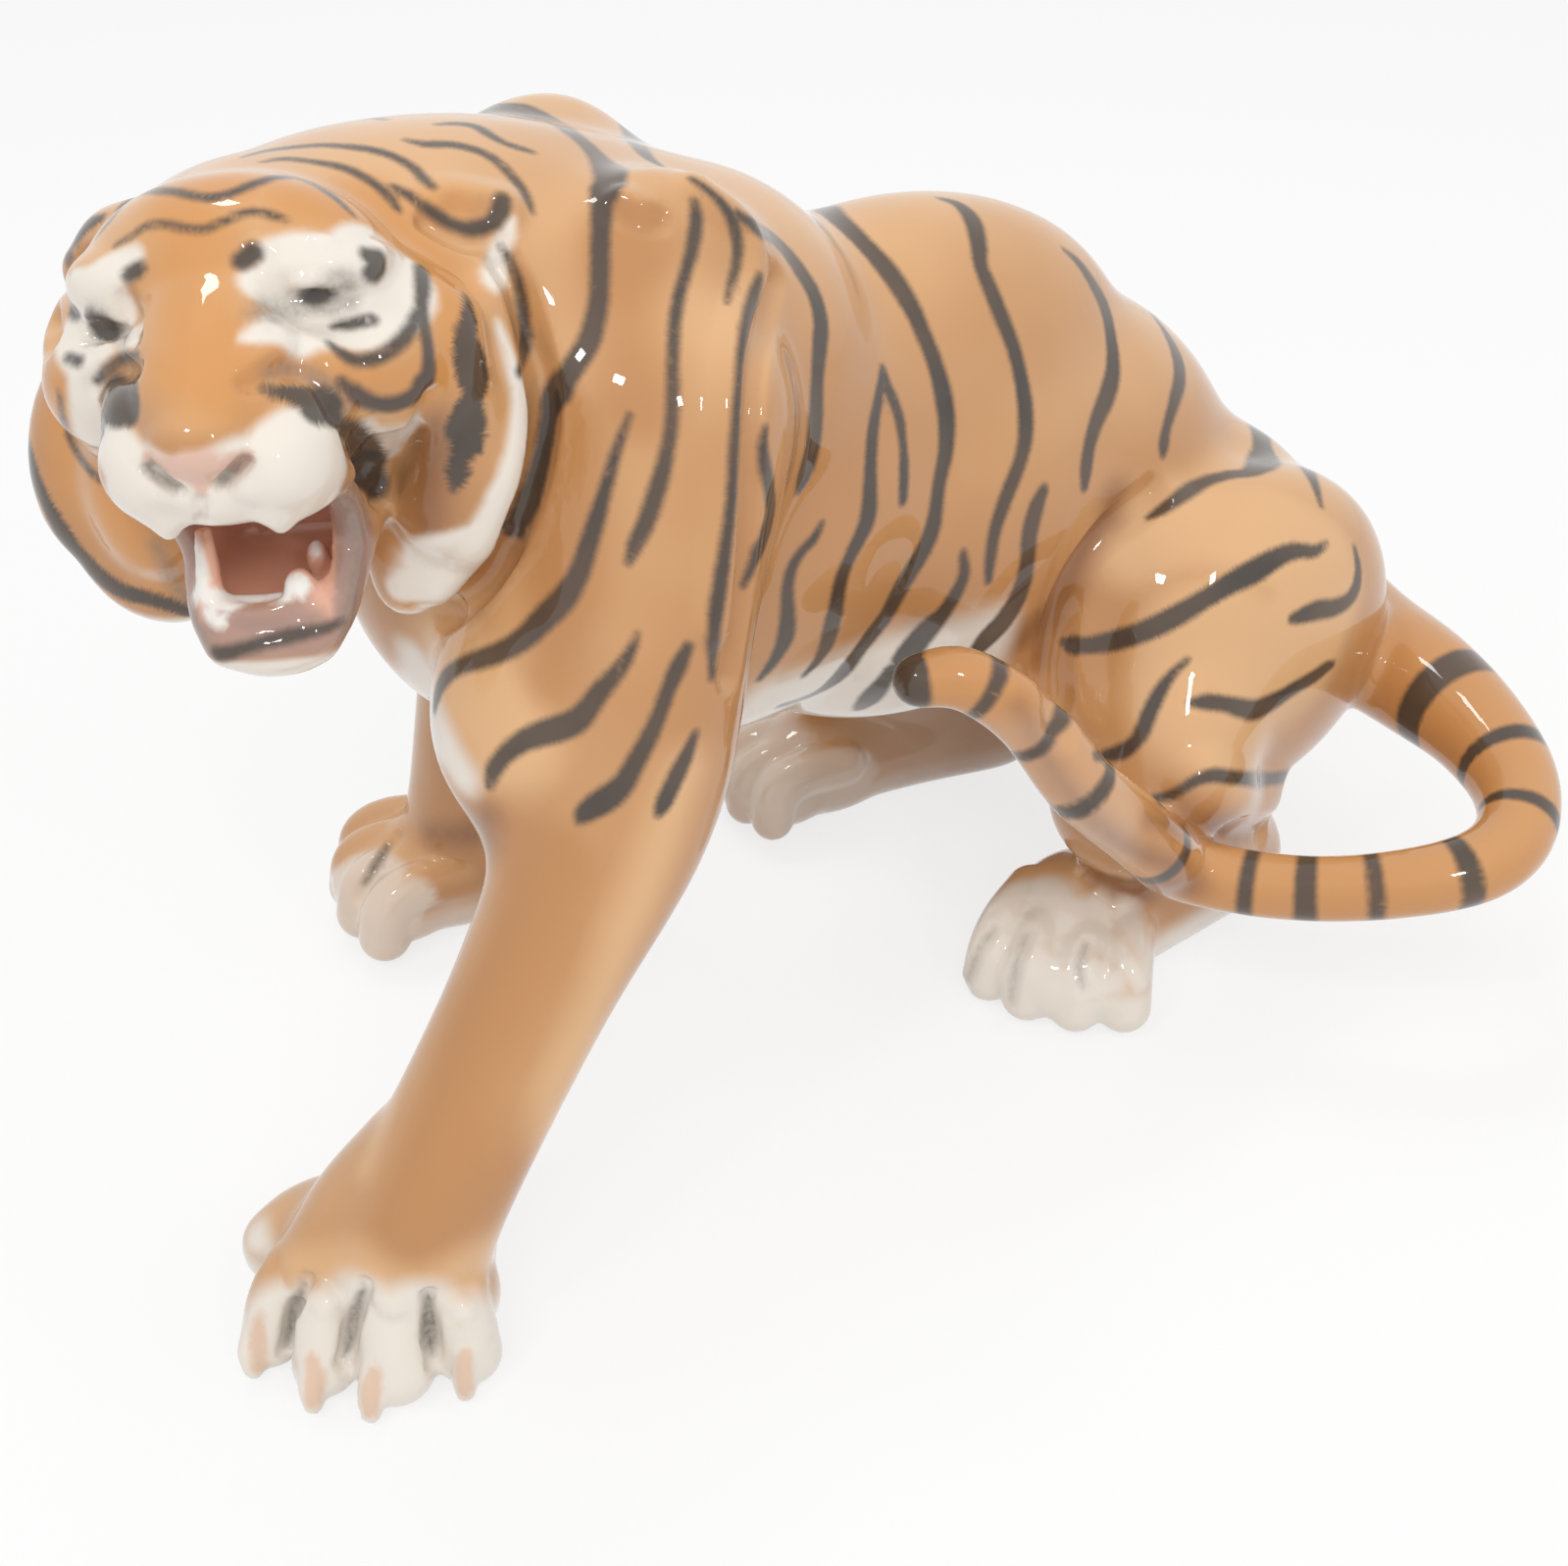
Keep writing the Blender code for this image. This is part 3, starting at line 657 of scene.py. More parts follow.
faceStrokes = [
    [(100, 240, 1), (112, 225, 3), (130, 205, 3), (150, 195, 4), (175, 195, 4), (200, 200, 4),
     (220, 201, 5), (240, 195, 4), (260, 187, 4), (280, 181, 3), (300, 181, 3), (320, 188, 3),
     (340, 200, 3), (353, 212, 2), (360, 219, 1)],
    [(118, 250, 1), (135, 240, 2), (150, 230, 3), (170, 229, 3), (190, 233, 3), (210, 233, 3),
     (230, 225, 3), (250, 217, 3), (268, 217, 3), (283, 221, 3), (293, 224, 1)],
    [(268, 165, 1), (290, 162, 3), (320, 165, 3), (350, 171, 4), (370, 180, 4), (385, 190, 4),
     (397, 201, 4), (406, 214, 2)],
    [(402, 191, 3), (415, 198, 4), (430, 209, 4), (445, 219, 5), (460, 228, 5), (480, 233, 6),
     (500, 228, 7), (510, 216, 9), (512, 205, 8)],
    [(342, 333, 3), (355, 331, 5), (370, 328, 6), (378, 326, 6)],
    [(430, 275, 5), (431, 292, 6), (430, 312, 5), (433, 335, 5), (437, 357, 5), (437, 380, 6),
     (430, 396, 7), (415, 408, 6), (397, 413, 6), (377, 410, 5), (362, 402, 5), (348, 390, 4)],
    [(427, 318, 4), (420, 334, 5), (410, 347, 6), (396, 358, 6), (380, 366, 6), (362, 367, 5),
     (348, 360, 4), (336, 350, 2)],
    [(100, 388, 3), (111, 376, 3), (125, 366, 3), (140, 362, 2)],
    [(60, 400, 1), (65, 430, 2), (78, 460, 3), (92, 480, 3), (104, 491, 2)],
    [(132, 280, 7), (142, 274, 7)],
    [(247, 266, 9), (258, 258, 9)],
    [(375, 260, 6), (386, 265, 6), (384, 275, 7), (375, 278, 4)],
    [(74, 316, 5), (79, 318, 4)],
    [(68, 364, 3), (80, 368, 5)],
]
ruffPatches = [
    [(477, 305, 2), (479, 325, 7), (476, 350, 11), (483, 375, 14), (488, 393, 8), (480, 410, 9),
     (475, 430, 14), (477, 450, 15), (469, 466, 8), (467, 481, 10), (464, 496, 4)],
    [(30, 425, 3), (28, 450, 6), (33, 480, 8), (42, 505, 8), (55, 530, 9), (70, 555, 10),
     (90, 578, 10), (110, 595, 9), (130, 605, 8), (150, 610, 7), (175, 618, 6), (197, 627, 4)],
    [(108, 402, 14), (122, 405, 23), (132, 414, 16)],
    [(102, 420, 7), (104, 442, 5)],
    [(272, 398, 4), (295, 401, 8), (320, 410, 10), (338, 424, 8), (348, 438, 4)],
    [(352, 434, 4), (359, 450, 9), (367, 468, 12), (374, 482, 11), (384, 498, 5)],
    [(70, 264, 5), (73, 247, 8), (86, 231, 8), (103, 222, 4)],
]
smoothMarks = [  # the lower lip's dark line
    [(222, 668, 7), (240, 664, 6), (265, 656, 6), (290, 650, 7), (312, 645, 6), (332, 641, 4),
     (348, 634, 2)],
]
pupils = [
    [(310, 303, 5), (322, 302, 9), (335, 300, 6)],
    [(104, 331, 8), (110, 336, 8)],
]
greys = [  # thin grey airbrushed round the eyes and in the folds
    [(255, 322, 5), (285, 316, 8), (320, 306, 14), (350, 296, 10)],
    [(96, 322, 4), (112, 334, 12), (128, 348, 4)],
    [(274, 380, 3), (292, 377, 6), (314, 384, 10), (334, 398, 11), (346, 420, 9)],
    [(245, 700, 5), (290, 694, 5), (335, 684, 4)],
    [(1012, 950, 2), (1000, 965, 2), (992, 985, 2), (984, 1003, 2)],
    [(1045, 955, 2), (1038, 975, 2), (1033, 1000, 2), (1030, 1020, 2)],
    [(1108, 965, 2), (1100, 985, 3), (1104, 1005, 2)],
    [(158, 556, 5), (182, 600, 6), (205, 650, 7), (215, 690, 6)],
    [(352, 500, 8), (366, 530, 8), (364, 590, 7), (355, 640, 6)],
]
softSoot = [  # airbrushed grey in the nostrils and between the toes
    [(150, 474, 3), (163, 486, 5), (180, 495, 4)],
    [(252, 468, 3), (240, 478, 5), (226, 490, 4)],
    [(310, 1310, 2), (302, 1330, 5), (297, 1352, 5), (292, 1370, 3)],
    [(370, 1315, 3), (362, 1340, 5), (357, 1365, 5), (352, 1382, 2)],
    [(437, 1322, 4), (436, 1345, 7), (438, 1365, 6), (440, 1380, 2)],
    [(395, 862, 3), (385, 880, 5), (372, 900, 3)],
]
whites = [
    [(275, 258, 12), (310, 258, 24), (350, 265, 28), (390, 282, 28), (398, 312, 24),
     (375, 335, 22), (330, 338, 16), (285, 336, 14), (250, 345, 6)],
    [(262, 290, 16), (300, 296, 20), (345, 300, 22)],
    [(135, 262, 12), (110, 278, 20), (95, 305, 24), (88, 340, 24), (84, 380, 18), (88, 420, 14),
     (96, 450, 10)],
    [(115, 340, 16), (138, 345, 9)],
    [(105, 440, 14), (125, 475, 28), (150, 508, 30), (200, 522, 26), (250, 505, 38),
     (300, 470, 42), (330, 455, 26)],
    [(280, 520, 26), (315, 515, 22), (330, 495, 22)],
    [(508, 330, 3), (521, 370, 6), (532, 410, 9), (529, 465, 12), (512, 520, 15),
     (485, 572, 17), (445, 603, 15), (408, 592, 10)],
    [(522, 225, 4), (514, 245, 9), (505, 268, 9), (503, 290, 6)],
    [(215, 684, 6), (250, 690, 8), (300, 684, 8), (340, 670, 6)],
    [(408, 600, 14), (440, 590, 24), (475, 560, 20)],
    [(345, 930, 30), (380, 930, 36), (420, 920, 26)],
    [(770, 800, 26), (810, 815, 30), (860, 800, 24)],
]
softWhites = [
    [(422, 670, 14), (440, 735, 18), (470, 790, 18)],
    [(270, 1365, 26), (320, 1375, 34), (390, 1380, 40), (480, 1375, 34)],
    [(262, 1262, 16), (280, 1285, 10)],
    [(985, 985, 20), (1030, 1000, 30), (1090, 1000, 34), (1130, 1000, 22)],
    [(1005, 935, 20), (1060, 930, 26), (1110, 940, 26)],
    [(1085, 965, 16), (1130, 965, 16), (1165, 1000, 16)],
    [(415, 575, 12), (440, 600, 12)],
    [(290, 1335, 12), (335, 1330, 18), (400, 1334, 22), (465, 1342, 22), (510, 1348, 12)],
    [(508, 520, 8), (478, 578, 20), (430, 596, 14)],
    [(1150, 935, 14), (1175, 985, 16)],
]
# paler tan: partly the tiger's own paler tone, partly painted light on the lit top of the haunch
# and a painted sheen along the leg edges
palesAndPaintedSheen = [
    [(1160, 560, 40), (1230, 530, 50), (1300, 540, 50), (1350, 600, 50), (1300, 680, 60),
     (1220, 650, 60), (1200, 730, 50), (1280, 770, 40)],
    [(360, 440, 12), (398, 446, 14), (432, 420, 10)],
    [(430, 650, 30), (480, 700, 40), (520, 760, 40)],
    [(700, 790, 16), (660, 900, 18), (615, 1010, 18), (575, 1110, 18), (545, 1220, 16)],
    [(415, 1080, 10), (392, 1140, 10), (372, 1190, 10)],
    [(300, 1290, 20), (390, 1296, 26), (480, 1296, 24)],
]
tans = [  # plain tan in the middle of the limbs, which takes the painted light off there and leaves the painted sheen at their edges
    [(560, 880, 26), (520, 980, 30), (470, 1090, 34), (440, 1190, 34), (420, 1270, 30)],
    [(590, 430, 26), (580, 560, 30), (560, 690, 20)],
    [(640, 250, 34), (645, 400, 34)],
]
deeps = [  # stronger orange
    [(240, 190, 30), (180, 200, 30), (200, 240, 40), (190, 300, 40), (210, 350, 45),
     (220, 390, 40), (160, 370, 20)],
    [(300, 200, 30), (380, 215, 26), (440, 260, 20), (460, 320, 22), (445, 390, 20),
     (400, 390, 14), (330, 375, 14), (290, 370, 14)],
    [(430, 205, 10), (470, 210, 12)],
    [(60, 400, 12), (70, 460, 20), (110, 540, 30), (160, 580, 22)],
]
brownPaintedShades = [  # warm brown painted shade in the hollows, creases and under the thigh and tail, partly the glaze's own airbrushed brown
    [(446, 430, 12), (438, 470, 22), (438, 510, 26), (440, 545, 16)],
    [(1135, 512, 10), (1105, 560, 14), (1080, 610, 14), (1040, 650, 14), (980, 650, 12),
     (935, 640, 8)],
    [(1120, 892, 10), (1160, 905, 14), (1210, 905, 14)],
    [(1040, 722, 8), (1085, 800, 9), (1140, 858, 9), (1210, 888, 7)],
    [(1170, 836, 6), (1240, 850, 8), (1310, 842, 6)],
    [(1072, 610, 8), (1060, 670, 12)],
    [(1440, 590, 8), (1420, 560, 8)],
    [(500, 830, 10), (480, 850, 14), (440, 850, 8)],
    [(1200, 835, 8), (1240, 845, 10), (1265, 852, 8)],
]
fleshes = [
    [(185, 570, 14), (215, 610, 14), (260, 640, 12), (310, 630, 14), (340, 590, 16),
     (350, 540, 14), (340, 505, 8)],
    [(230, 570, 26), (270, 580, 30), (310, 570, 24)],
]
teeth = [
    [(200, 555, 4), (203, 575, 7), (206, 592, 8)],
    [(200, 605, 8), (225, 612, 9), (260, 610, 8), (290, 600, 10), (303, 597, 14)],
    [(215, 625, 8), (225, 635, 7)],
    [(318, 548, 5), (323, 562, 6)],
]
noseLeather = [
    [(150, 465, 5), (175, 478, 9), (200, 482, 14), (225, 477, 10), (252, 463, 4)],
    [(203, 490, 6), (205, 502, 4)],
]
clawTips = [
    [(264, 1345, 6), (263, 1370, 9), (265, 1392, 8)],
    [(318, 1388, 7), (322, 1410, 9), (320, 1432, 8)],
    [(382, 1400, 7), (378, 1420, 10), (378, 1440, 8)],
    [(475, 1382, 7), (473, 1400, 9), (475, 1420, 8)],
]
tailRings = [  # picture points on the tail, half width in mm
    (1456, 700, 2.9), (1535, 745, 1.6), (1556, 810, 1.3), (1492, 874, 1.6), (1402, 900, 1.2),
    (1334, 905, 1.8), (1275, 895, 1.2), (1208, 875, 1.4), (1110, 825, 1.4), (1065, 765, 1.1),
    (1010, 705, 1.2),
]


class Socket:  # a node's output that takes part in sums
    def __init__(self, tree, link):
        self.tree, self.link = tree, link

    def node(self, kind, settings=None, **inputs):
        made = self.tree.nodes.new(kind)
        for name, value in (settings or {}).items():
            setattr(made, name, value)
        for name, value in inputs.items():
            key = int(name[1:]) if name[1:].isdigit() else name.replace("_", " ")
            if isinstance(value, Socket):
                self.tree.links.new(value.link, made.inputs[key])
            else:
                made.inputs[key].default_value = value
        return made

    def out(self, kind, output=0, settings=None, **inputs):
        return Socket(self.tree, self.node(kind, settings, **inputs).outputs[output])

    def maths(self, operation, *values):
        inputs = {f"i{index}": value for index, value in enumerate(values)}
        return self.out("ShaderNodeMath", 0, {"operation": operation}, **inputs)

    def __add__(self, other):
        return self.maths("ADD", self, other)

    __radd__ = __add__

    def __mul__(self, other):
        return self.maths("MULTIPLY", self, other)

    __rmul__ = __mul__

    def __sub__(self, other):
        return self.maths("SUBTRACT", self, other)

    def __rsub__(self, other):
        return self.maths("SUBTRACT", other, self)

    def ramp(self, low, high):  # 0 below low and 1 above high, with a soft step between
        settings = {"interpolation_type": "SMOOTHSTEP"}
        return self.out("ShaderNodeMapRange", 0, settings, Value=self, From_Min=low, From_Max=high)

    def noise(self, scale, detail=2.0, roughness=0.5):
        return self.out("ShaderNodeTexNoise", 0, None, Vector=self, Scale=scale, Detail=detail,
                        Roughness=roughness)

    def mix(self, under, over):  # this value is the share of the colour over
        settings = {"data_type": "RGBA"}
        return self.out("ShaderNodeMix", 2, settings, i0=self, i6=under, i7=over)


glaze = {
    "tan": (0.48, 0.225, 0.080, 1),
    # paleTan is the colour of the paler tone and of the painted light on the tops and leg edges
    "paleTan": (0.68, 0.40, 0.195, 1),
    "orange": (0.60, 0.275, 0.082, 1),
    "white": (0.765, 0.70, 0.62, 1),
    # the colour of the painted shade in the hollows and under the haunch and tail
    "brown": (0.26, 0.105, 0.036, 1),
    "ink": (0.045, 0.035, 0.028, 1),
    "soot": (0.11, 0.088, 0.067, 1),
    "grey": (0.19, 0.165, 0.145, 1),
    "flesh": (0.38, 0.235, 0.19, 1),
    # the mouth's lining, painted lighter than its own pink as painted light inside the mouth
    "palate": (0.74, 0.40, 0.28, 1),
    "tooth": (0.80, 0.77, 0.72, 1),
    "nose": (0.68, 0.445, 0.35, 1),
    "claw": (0.70, 0.50, 0.37, 1),
    "roughness": 0.42,
    "underGloss": 0.15,
    "coatRoughness": 0.035,
    "coatIor": 1.5,
    "hairScale": 2.6,
    "speckleScale": 900,
    "driftScale": 45,
    "cloudScale": 22,
    "rippleScale": 95,
    "rippleStrength": 0.03,
    "rippleDepth": 0.001,
    "edge": 0.8,  # softness of a stroke's edge, mm
    "comb": 1.9,  # how far single brush hairs reach past the edge, mm
}


def makeGlaze():
    material = bpy.data.materials.new("paintedPorcelain")
    material.use_nodes = True
    tree = material.node_tree
    shader = tree.nodes["Principled BSDF"]
    base = Socket(tree, None)

    def layer(name):
        return base.out("ShaderNodeAttribute", 2, {"attribute_name": name})

    place = base.out("ShaderNodeTexCoord", 3)
    ink, along = layer("ink"), layer("along")
    hairs = base.out("ShaderNodeCombineXYZ", 0, None, i0=along, i1=ink * 0.12, i2=0.0)
    comb = (hairs.noise(glaze["hairScale"], 1.5) - 0.5) * layer("fringe") * glaze["comb"]
    speckle = place.noise(glaze["speckleScale"], 2.0)
    drift = place.noise(glaze["driftScale"], 3.0)
    cloud = place.noise(glaze["cloudScale"], 2.0)
    edge = glaze["edge"]
    stroke = (ink + 0.2 + comb + (speckle - 0.5) * 0.4).ramp(-edge, edge)
    density = stroke * (0.80 + 0.28 * drift)
    # cloudy random tone, lightened by painted light on the tops and a painted sheen on the leg
    # edges
    body = (cloud * 0.9 + layer("pale") * 0.9 - 0.25).ramp(0.1, 1.0)
    colour = body.mix(glaze["tan"], glaze["paleTan"])
    colour = layer("deep").mix(colour, glaze["orange"])
    # painted shade: warm brown in the hollows, creases and under the haunch and tail
    colour = (layer("brown") * (0.65 + 0.5 * drift)).mix(colour, glaze["brown"])
    colour = (layer("white") + (drift - 0.5) * 0.25).ramp(0.12, 0.85).mix(colour, glaze["white"])
    # the mouth's lining takes a colour lighter than its own pink, as painted light inside the mouth
    for name in ("flesh", "palate", "tooth", "nose", "claw"):
        colour = layer(name).mix(colour, glaze[name])
    colour = (layer("grey") * (0.5 + 0.7 * (speckle - 0.5))).mix(colour, glaze["grey"])
    colour = (layer("soot") * (0.75 + 0.6 * (speckle - 0.5))).mix(colour, glaze["soot"])
    colour = density.mix(colour, glaze["ink"])
    tree.links.new(colour.link, shader.inputs["Base Color"])
    shader.inputs["Roughness"].default_value = glaze["roughness"]
    shader.inputs["Specular IOR Level"].default_value = glaze["underGloss"]
    shader.inputs["Coat Weight"].default_value = 1.0
    shader.inputs["Coat Roughness"].default_value = glaze["coatRoughness"]
    shader.inputs["Coat IOR"].default_value = glaze["coatIor"]
    ripple = place.noise(glaze["rippleScale"], 1.0) + 0.15 * speckle
    bump = base.out("ShaderNodeBump", 0, None, Strength=glaze["rippleStrength"],
                    Distance=glaze["rippleDepth"], Height=ripple)
    tree.links.new(bump.link, shader.inputs["Normal"])
    return material


def setLayer(mesh, name, values):
    attribute = mesh.attributes.new(name, "FLOAT", "POINT")
    attribute.data.foreach_set("value", values.astype(np.float32))


def softStep(values):
    values = np.clip(values, 0, 1)
    return values * values * (3 - 2 * values)


def traceAll(tree, strokes):
    return [run for knots in strokes for run in traceStroke(tree, knots)]


def above(values, start, width):  # 0 up to the start, 1 from a width past it
    return softStep((values - start) / width)


def below(values, start, width):  # 0 down to the start, 1 from a width under it
    return softStep((start - values) / width)


painting = {
    "fringe": {"body": 0.18, "face": 0.06, "hairy": 0.4, "ruff": 1.0},  # how ragged strokes end
    "softness": {  # how far each airbrushed colour takes to fade out, mm
        "white": 4.0, "softWhite": 9.0, "deep": 8.0, "pale": 16.0, "tan": 12.0, "brown": 7.0,
        "flesh": 2.0, "tooth": 0.9, "nose": 1.0, "claw": 1.2, "soot": 1.8, "grey": 2.6,
    },
    "tailSlack": 1.5,  # how far off the tail's radius a point may lie, mm
    "tailTip": 0.8,  # how far before the last knot the dark tip starts, mm
    "tailOrangeFrom": 34,  # along the tail, mm
    "tailOrangeOver": 30,
    "tailOrange": 0.5,
    "tailWhite": 0.35,
    "tailPale": 0.4,
}


def layInk(points, normals, tree):  # how deep each point lies in a stripe, and the hairs there
    body = traceAll(tree, flankStripes + backStripes)
    mirrored = [mirrorStroke(tree, run) for run in body + traceAll(tree, hairyStripes)]
    mirrored += [layStroke(tree, knots) for knots in farStripes]
    mirrored = [run for run in mirrored if len(run) > 1]
    ink, along = strokeField(points, normals, body + mirrored)
    fringe = np.full(len(points), painting["fringe"]["body"])
    for strokes, kind in ((faceStrokes + pupils + smoothMarks, "face"), (hairyStripes, "hairy"),
                          (ruffPatches, "ruff")):
        field, hairs = strokeField(points, normals, traceAll(tree, strokes))
        won = field > ink
        ink[won], along[won] = field[won], hairs[won]
        fringe[won] = painting["fringe"][kind]
    return ink, along, fringe


def followTail(points):  # which points are on the tail, and how far along it each one is
    path = np.array(smoothPath(tailKnots, 12))
    path, girth = path[:, :3], path[:, 3]
    arc = np.concatenate([[0], np.cumsum(np.linalg.norm(np.diff(path, axis=0), axis=1))])
    found = np.flatnonzero((points[:, 1] < -26) & (points[:, 2] < 100) & (points[:, 0] > 30))
    gaps = np.linalg.norm(points[found, None] - path[None, ::2], axis=2)
    nearest = gaps.argmin(1)
    onTail = gaps.min(1) < girth[::2][nearest] + painting["tailSlack"]
    found, nearest = found[onTail], nearest[onTail] * 2
    tangent = np.gradient(path, axis=0)
    tangent /= np.linalg.norm(tangent, axis=1)[:, None]
    reached = arc[nearest] + ((points[found] - path[nearest]) * tangent[nearest]).sum(1)
    return found, reached, path, arc


def ringTail(tree, ink, along, found, reached, path, arc):
    for x, y, half in tailRings:
        spot = np.array(throw(tree, x, y)[0] or (0, 0, 0))
        at = arc[np.linalg.norm(path - spot, axis=1).argmin()]
        band = half - np.abs(reached - at)
        won = band > ink[found]
        ink[found[won]] = band[won]
        along[found[won]] = 0
    ink[found] = np.maximum(ink[found], reached - arc[-1] + painting["tailTip"])


def whitenBody(points, normals):  # white belly, underside and paws
    length, across, height = points.T
    belly = below(height, 94, 16) * above(length, 8, 14) * below(length, 86, 10)
    belly *= below(length, 80, 12) + below(np.abs(across), 26, 6)
    belly = np.minimum(belly, 1)
    under = above(-normals[:, 2], 0.25, 0.5) * above(height, 34, 10) * below(length, 80, 14)
    paws = below(height, 19, 12)
    inner = above(across, 6, 8) * below(height, 44, 8)  # the far hind leg
    inner *= above(length, 60, 10) * below(normals[:, 1], 0.3, 1)
    return np.maximum.reduce([belly * 0.9, under * 0.75, paws * 0.95, inner * 0.7])


def findMouth(points):  # the chin, the mouth's lining and the skin round it, in the head's frame
    toHead = np.array(headFrame.inverted())
    forward, left, up = (points @ toHead[:3, :3].T + toHead[:3, 3]).T
    left = np.abs(left)
    chin = below(up, -48, 2.5) * above(forward, 4, 4) * ((left < 12) & (up > -58))
    mouth = below(left, 10.6, 1) * below(forward, 22.5, 2)
    mouth *= above(forward, -4, 2) * below(up, -24.5, 2) * above(up, -45.5, 2)
    lips = above(left, 8, 2) * above(forward, 8, 3) * below(forward, 26, 2)
    lips *= below(up, -28, 3) * above(up, -48, 3) * (left < 15)
    front = above(forward, 13, 2) * below(up, -39, 2) * below(forward, 27, 2)
    front *= (left < 13) & (up > -58)
    return chin, mouth, np.maximum.reduce([mouth, lips * 0.9, front * 0.9])


def paint(skin):
    mesh = skin.data
    points, normals = readSkin(mesh)
    tree = growTree(mesh, points)

    def soft(name, strokes):
        fade = painting["softness"][name]
        field, along = strokeField(points, normals, traceAll(tree, strokes), reach=fade + 2)
        return softStep(0.5 + field / fade)

    ink, along, fringe = layInk(points, normals, tree)
    found, reached, path, arc = followTail(points)
    ringTail(tree, ink, along, found, reached, path, arc)
    fringe[found] = 0
    white = np.maximum.reduce([soft("white", whites), whitenBody(points, normals),
                               soft("softWhite", softWhites) * 0.9])
    white[found] *= painting["tailWhite"]
    white *= 1 - 0.42 * above(points[:, 1], 8, 8) * below(points[:, 2], 56, 12)
    chin, mouth, flesh = findMouth(points)
    deep = soft("deep", deeps)
    orange = above(reached, painting["tailOrangeFrom"], painting["tailOrangeOver"])
    deep[found] = np.maximum(deep[found], painting["tailOrange"] * orange)
    # paler where the skin faces up: painted light on the tops
    pale = np.maximum(softStep(normals[:, 2] * 0.5 + 0.1), soft("pale", palesAndPaintedSheen))
    pale -= 0.6 * soft("tan", tans)
    pale[found] *= painting["tailPale"]
    setLayer(mesh, "ink", ink)
    setLayer(mesh, "along", along)
    setLayer(mesh, "fringe", fringe)
    setLayer(mesh, "white", np.maximum(white, chin))
    setLayer(mesh, "pale", pale)
    setLayer(mesh, "deep", deep)
    setLayer(mesh, "flesh", np.maximum(flesh, soft("flesh", fleshes)) * (1 - chin))
    # the mouth's lining gets the lighter colour: painted light inside the mouth
    setLayer(mesh, "palate", mouth)
    # brown here is painted shade in the hollows and under the haunch and tail
    for name, strokes in (("brown", brownPaintedShades), ("tooth", teeth), ("nose", noseLeather),
                          ("claw", clawTips), ("soot", softSoot), ("grey", greys)):
        setLayer(mesh, name, soft(name, strokes))
    print("painted", len(points), "points")


def cutFlat(skin):  # cuts the paws flat on the floor
    selectOnly(skin)
    bpy.ops.object.mode_set(mode="EDIT")
    bpy.ops.mesh.select_all(action="SELECT")
    bpy.ops.mesh.bisect(plane_co=(0, 0, 0), plane_no=(0, 0, 1), use_fill=True, clear_inner=True)
    bpy.ops.mesh.select_all(action="SELECT")
    bpy.ops.mesh.quads_convert_to_tris()
    bpy.ops.object.mode_set(mode="OBJECT")
    print("cut flat", len(skin.data.polygons), "triangles")


def thinSkin(skin):  # fewer triangles, but small ones along the strokes and round the tail
    points, normals = readSkin(skin.data)
    ink = layInk(points, normals, growTree(skin.data, points))[0]
    levels = tiger["fineLevels"]
    plain = np.rint(levels - (levels - 1) * softStep(1.5 - np.abs(ink) / tiger["fineBand"]))
    onTail = (points[:, 1] < -62) & (points[:, 2] < 75) & (points[:, 0] > 70)
    plain[onTail] = np.minimum(plain[onTail], tiger["tailLevel"])
    group = skin.vertex_groups.new(name="plain")
    for level in range(1, levels + 1):
        group.add(np.flatnonzero(plain == level).tolist(), level / 10, "REPLACE")
    thin = skin.modifiers.new("thin", "DECIMATE")
    thin.ratio = min(1.0, tiger["triangles"] / len(skin.data.polygons))
    thin.vertex_group = "plain"
    thin.vertex_group_factor = tiger["finePull"]
    bpy.ops.object.modifier_apply(modifier="thin")
    skin.vertex_groups.clear()
    for vertex in skin.data.vertices:
        if vertex.co.z < tiger["soleLevel"]:
            vertex.co.z = 0
    print("thinned to", len(skin.data.polygons), "triangles")


def placeFigure(skin):  # moves the figure over the origin, in metres, and glazes it
    middle = Vector(tiger["middle"])
    skin.data.transform(Matrix.Scale(0.001, 4) @ Matrix.Translation(-middle))
    skin.data.shade_smooth()
    skin.data.materials.clear()
    skin.data.materials.append(makeGlaze())
    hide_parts("tiger")
    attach(skin, "root")
    print("glazed and placed")


studio = {
    "floor": (0.88, 0.88, 0.88, 1),
    "floorSize": 6,
    "floorLift": 0.76,
    "worldLight": 0.58,
    "lamps": [  # name, place, size, watts, turned to, seen in the glaze
        ("keySoftbox", (-0.55, -0.75, 0.95), (0.55, 0.55), 4.4, (0, 0, 0.08), False),
        ("fillSoftbox", (0.75, -0.65, 0.7), (0.45, 0.7), 1.8, (0, 0, 0.08), False),
        ("topSoftbox", (0.15, 0.45, 1.15), (0.6, 0.4), 2.0, (0, 0, 0.08), False),
        ("smallLamp", (-0.62, -0.25, 0.85), (0.11, 0.09), 1.1, (-0.05, 0, 0.12), True),
        ("secondLamp", (-0.10, -0.95, 0.80), (0.07, 0.14), 1.0, (0, 0, 0.08), True),
        ("topLamp", (-0.10, 0.38, 0.98), (0.12, 0.12), 0.6, (-0.05, 0, 0.12), True),
    ],
}


def seenShare(base):  # 1 where the camera looks straight at it or sees it in the glaze
    return base.maths("MAXIMUM", base.out("ShaderNodeLightPath", 0),
                      base.out("ShaderNodeLightPath", 3))


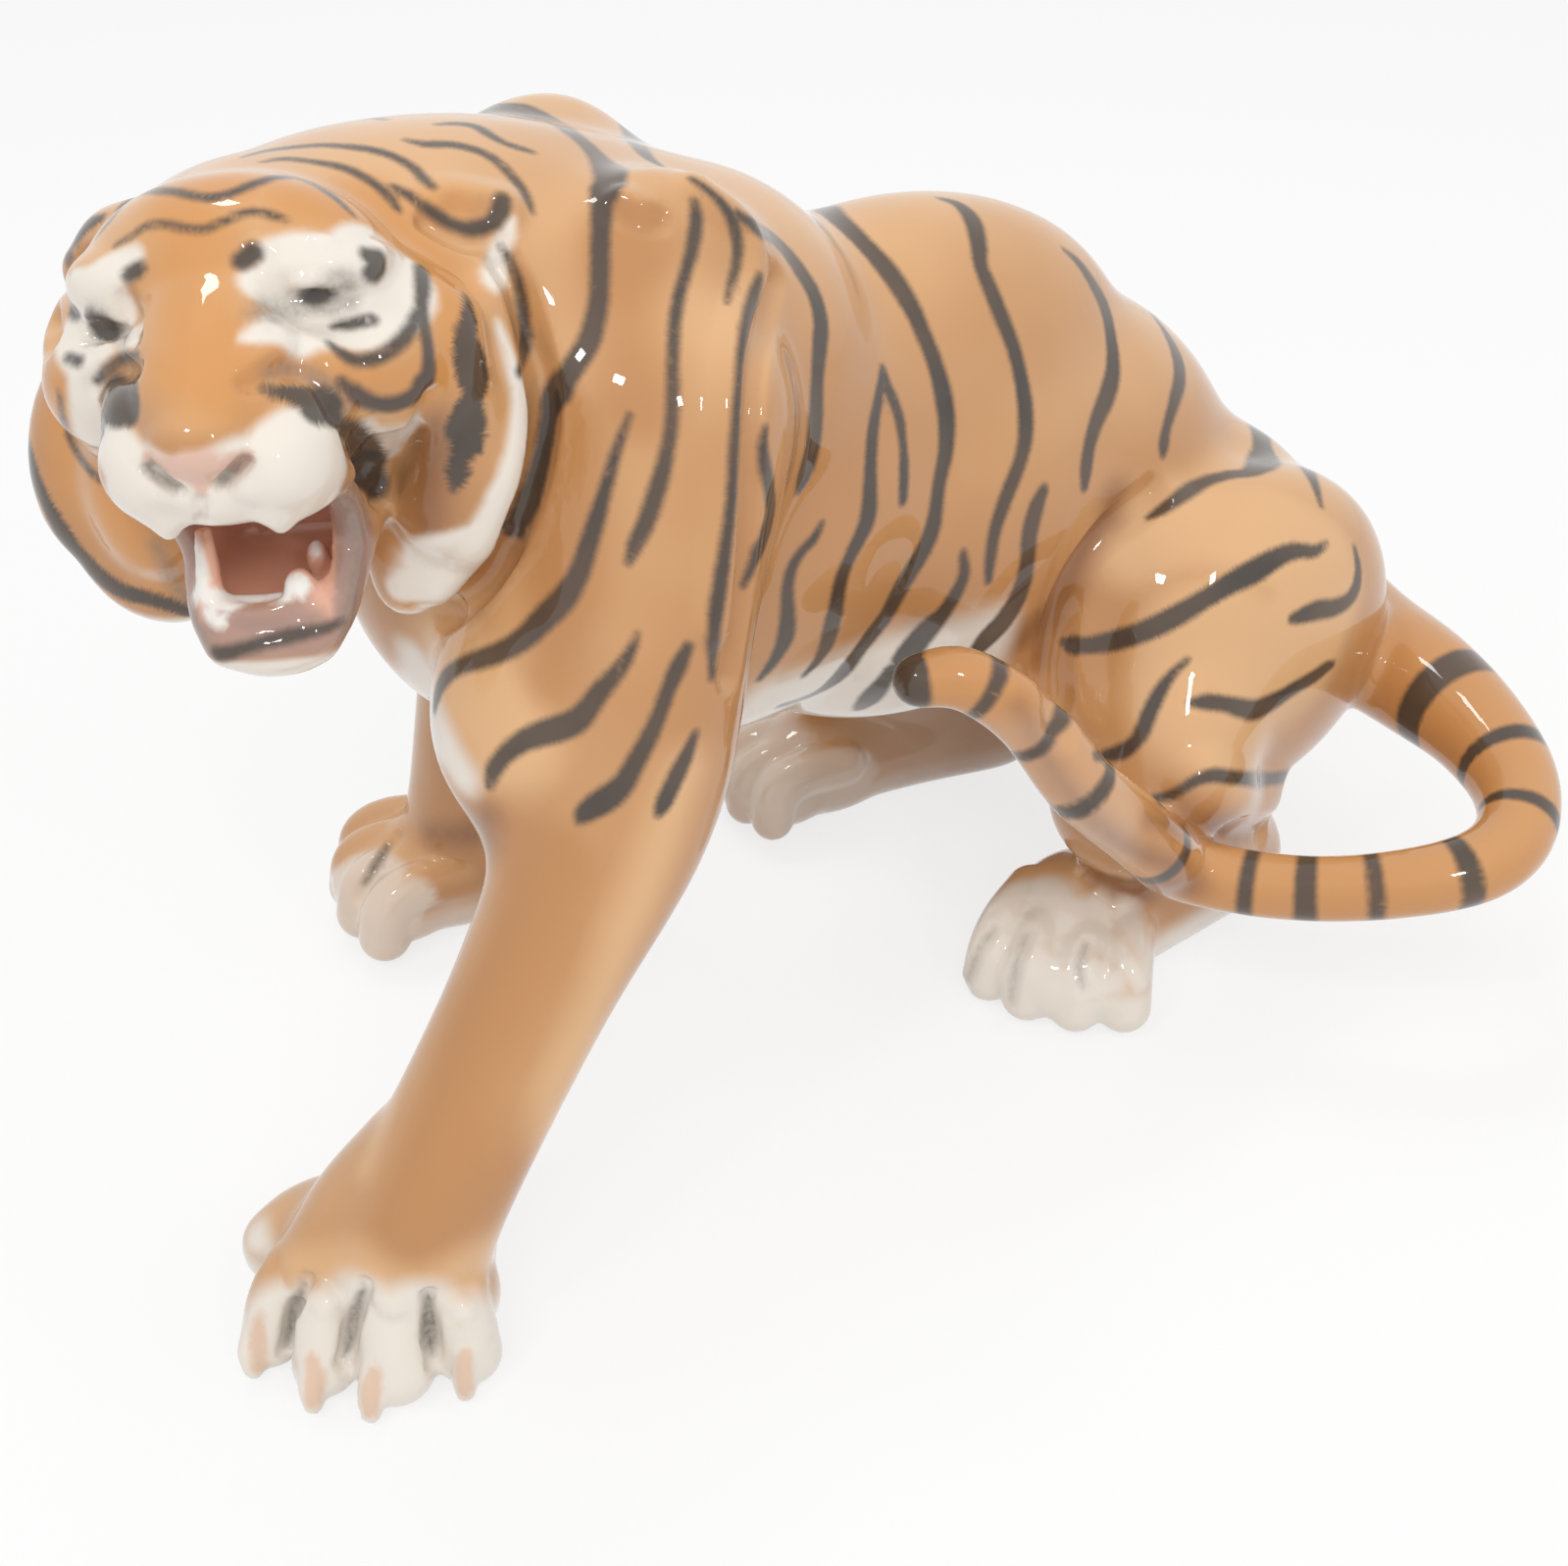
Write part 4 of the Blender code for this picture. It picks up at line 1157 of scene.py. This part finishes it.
def setStage():
    bpy.ops.object.select_all(action="DESELECT")
    bpy.ops.mesh.primitive_plane_add(size=studio["floorSize"], location=(0, 0, 0))
    floor = bpy.context.object
    floor.name = floor.data.name = "paleFloor"
    material = bpy.data.materials.new("paleFloor")
    material.use_nodes = True
    tree = material.node_tree
    shader = tree.nodes["Principled BSDF"]
    shader.inputs["Base Color"].default_value = studio["floor"]
    shader.inputs["Roughness"].default_value = 0.9
    shader.inputs["Specular IOR Level"].default_value = 0.0
    base = Socket(tree, None)
    plain = Socket(tree, shader.outputs["BSDF"])
    glow = base.out("ShaderNodeEmission", 0, None, Color=(1, 1, 1, 1), Strength=1.0)
    lifted = base.out("ShaderNodeMixShader", 0, None, i0=seenShare(base) * studio["floorLift"],
                      i1=plain, i2=glow)
    tree.links.new(lifted.link, tree.nodes["Material Output"].inputs["Surface"])
    floor.data.materials.append(material)
    for name, place, size, watts, aim, glints in studio["lamps"]:
        bpy.ops.object.light_add(type="AREA", location=place)
        lamp = bpy.context.object
        lamp.name = name
        lamp.data.shape = "RECTANGLE"
        lamp.data.size, lamp.data.size_y = size
        lamp.data.energy = watts
        lamp.visible_glossy = glints
        lamp.rotation_mode = "QUATERNION"
        lamp.rotation_quaternion = (Vector(aim) - Vector(place)).to_track_quat("-Z", "Y")
    world = bpy.data.worlds.new("softRoom")
    bpy.context.scene.world = world
    world.use_nodes = True
    tree = world.node_tree
    base = Socket(tree, None)
    room = base.out("ShaderNodeBackground", 0, None, Color=(1, 1, 1, 1),
                    Strength=studio["worldLight"])
    backdrop = base.out("ShaderNodeBackground", 0, None, Color=(1, 1, 1, 1), Strength=1.0)
    both = base.out("ShaderNodeMixShader", 0, None, i0=seenShare(base), i1=room, i2=backdrop)
    tree.links.new(both.link, tree.nodes["World Output"].inputs["Surface"])
    print("stage set")


def setCamera():
    bpy.ops.object.camera_add()
    camera = bpy.context.object
    camera.location = (Vector(picture["eye"]) - Vector(tiger["middle"])) * 0.001
    camera.rotation_mode = "QUATERNION"
    camera.rotation_quaternion = sight.to_track_quat("-Z", "Y")
    camera.data.lens = picture["lens"]
    camera.data.sensor_width = picture["sensor"]
    bpy.context.scene.camera = camera
    print("camera set")


skin = makeBody()
cutFlat(skin)
thinSkin(skin)
paint(skin)
placeFigure(skin)
setStage()
setCamera()
bpy.context.scene.view_settings.view_transform = "Standard"
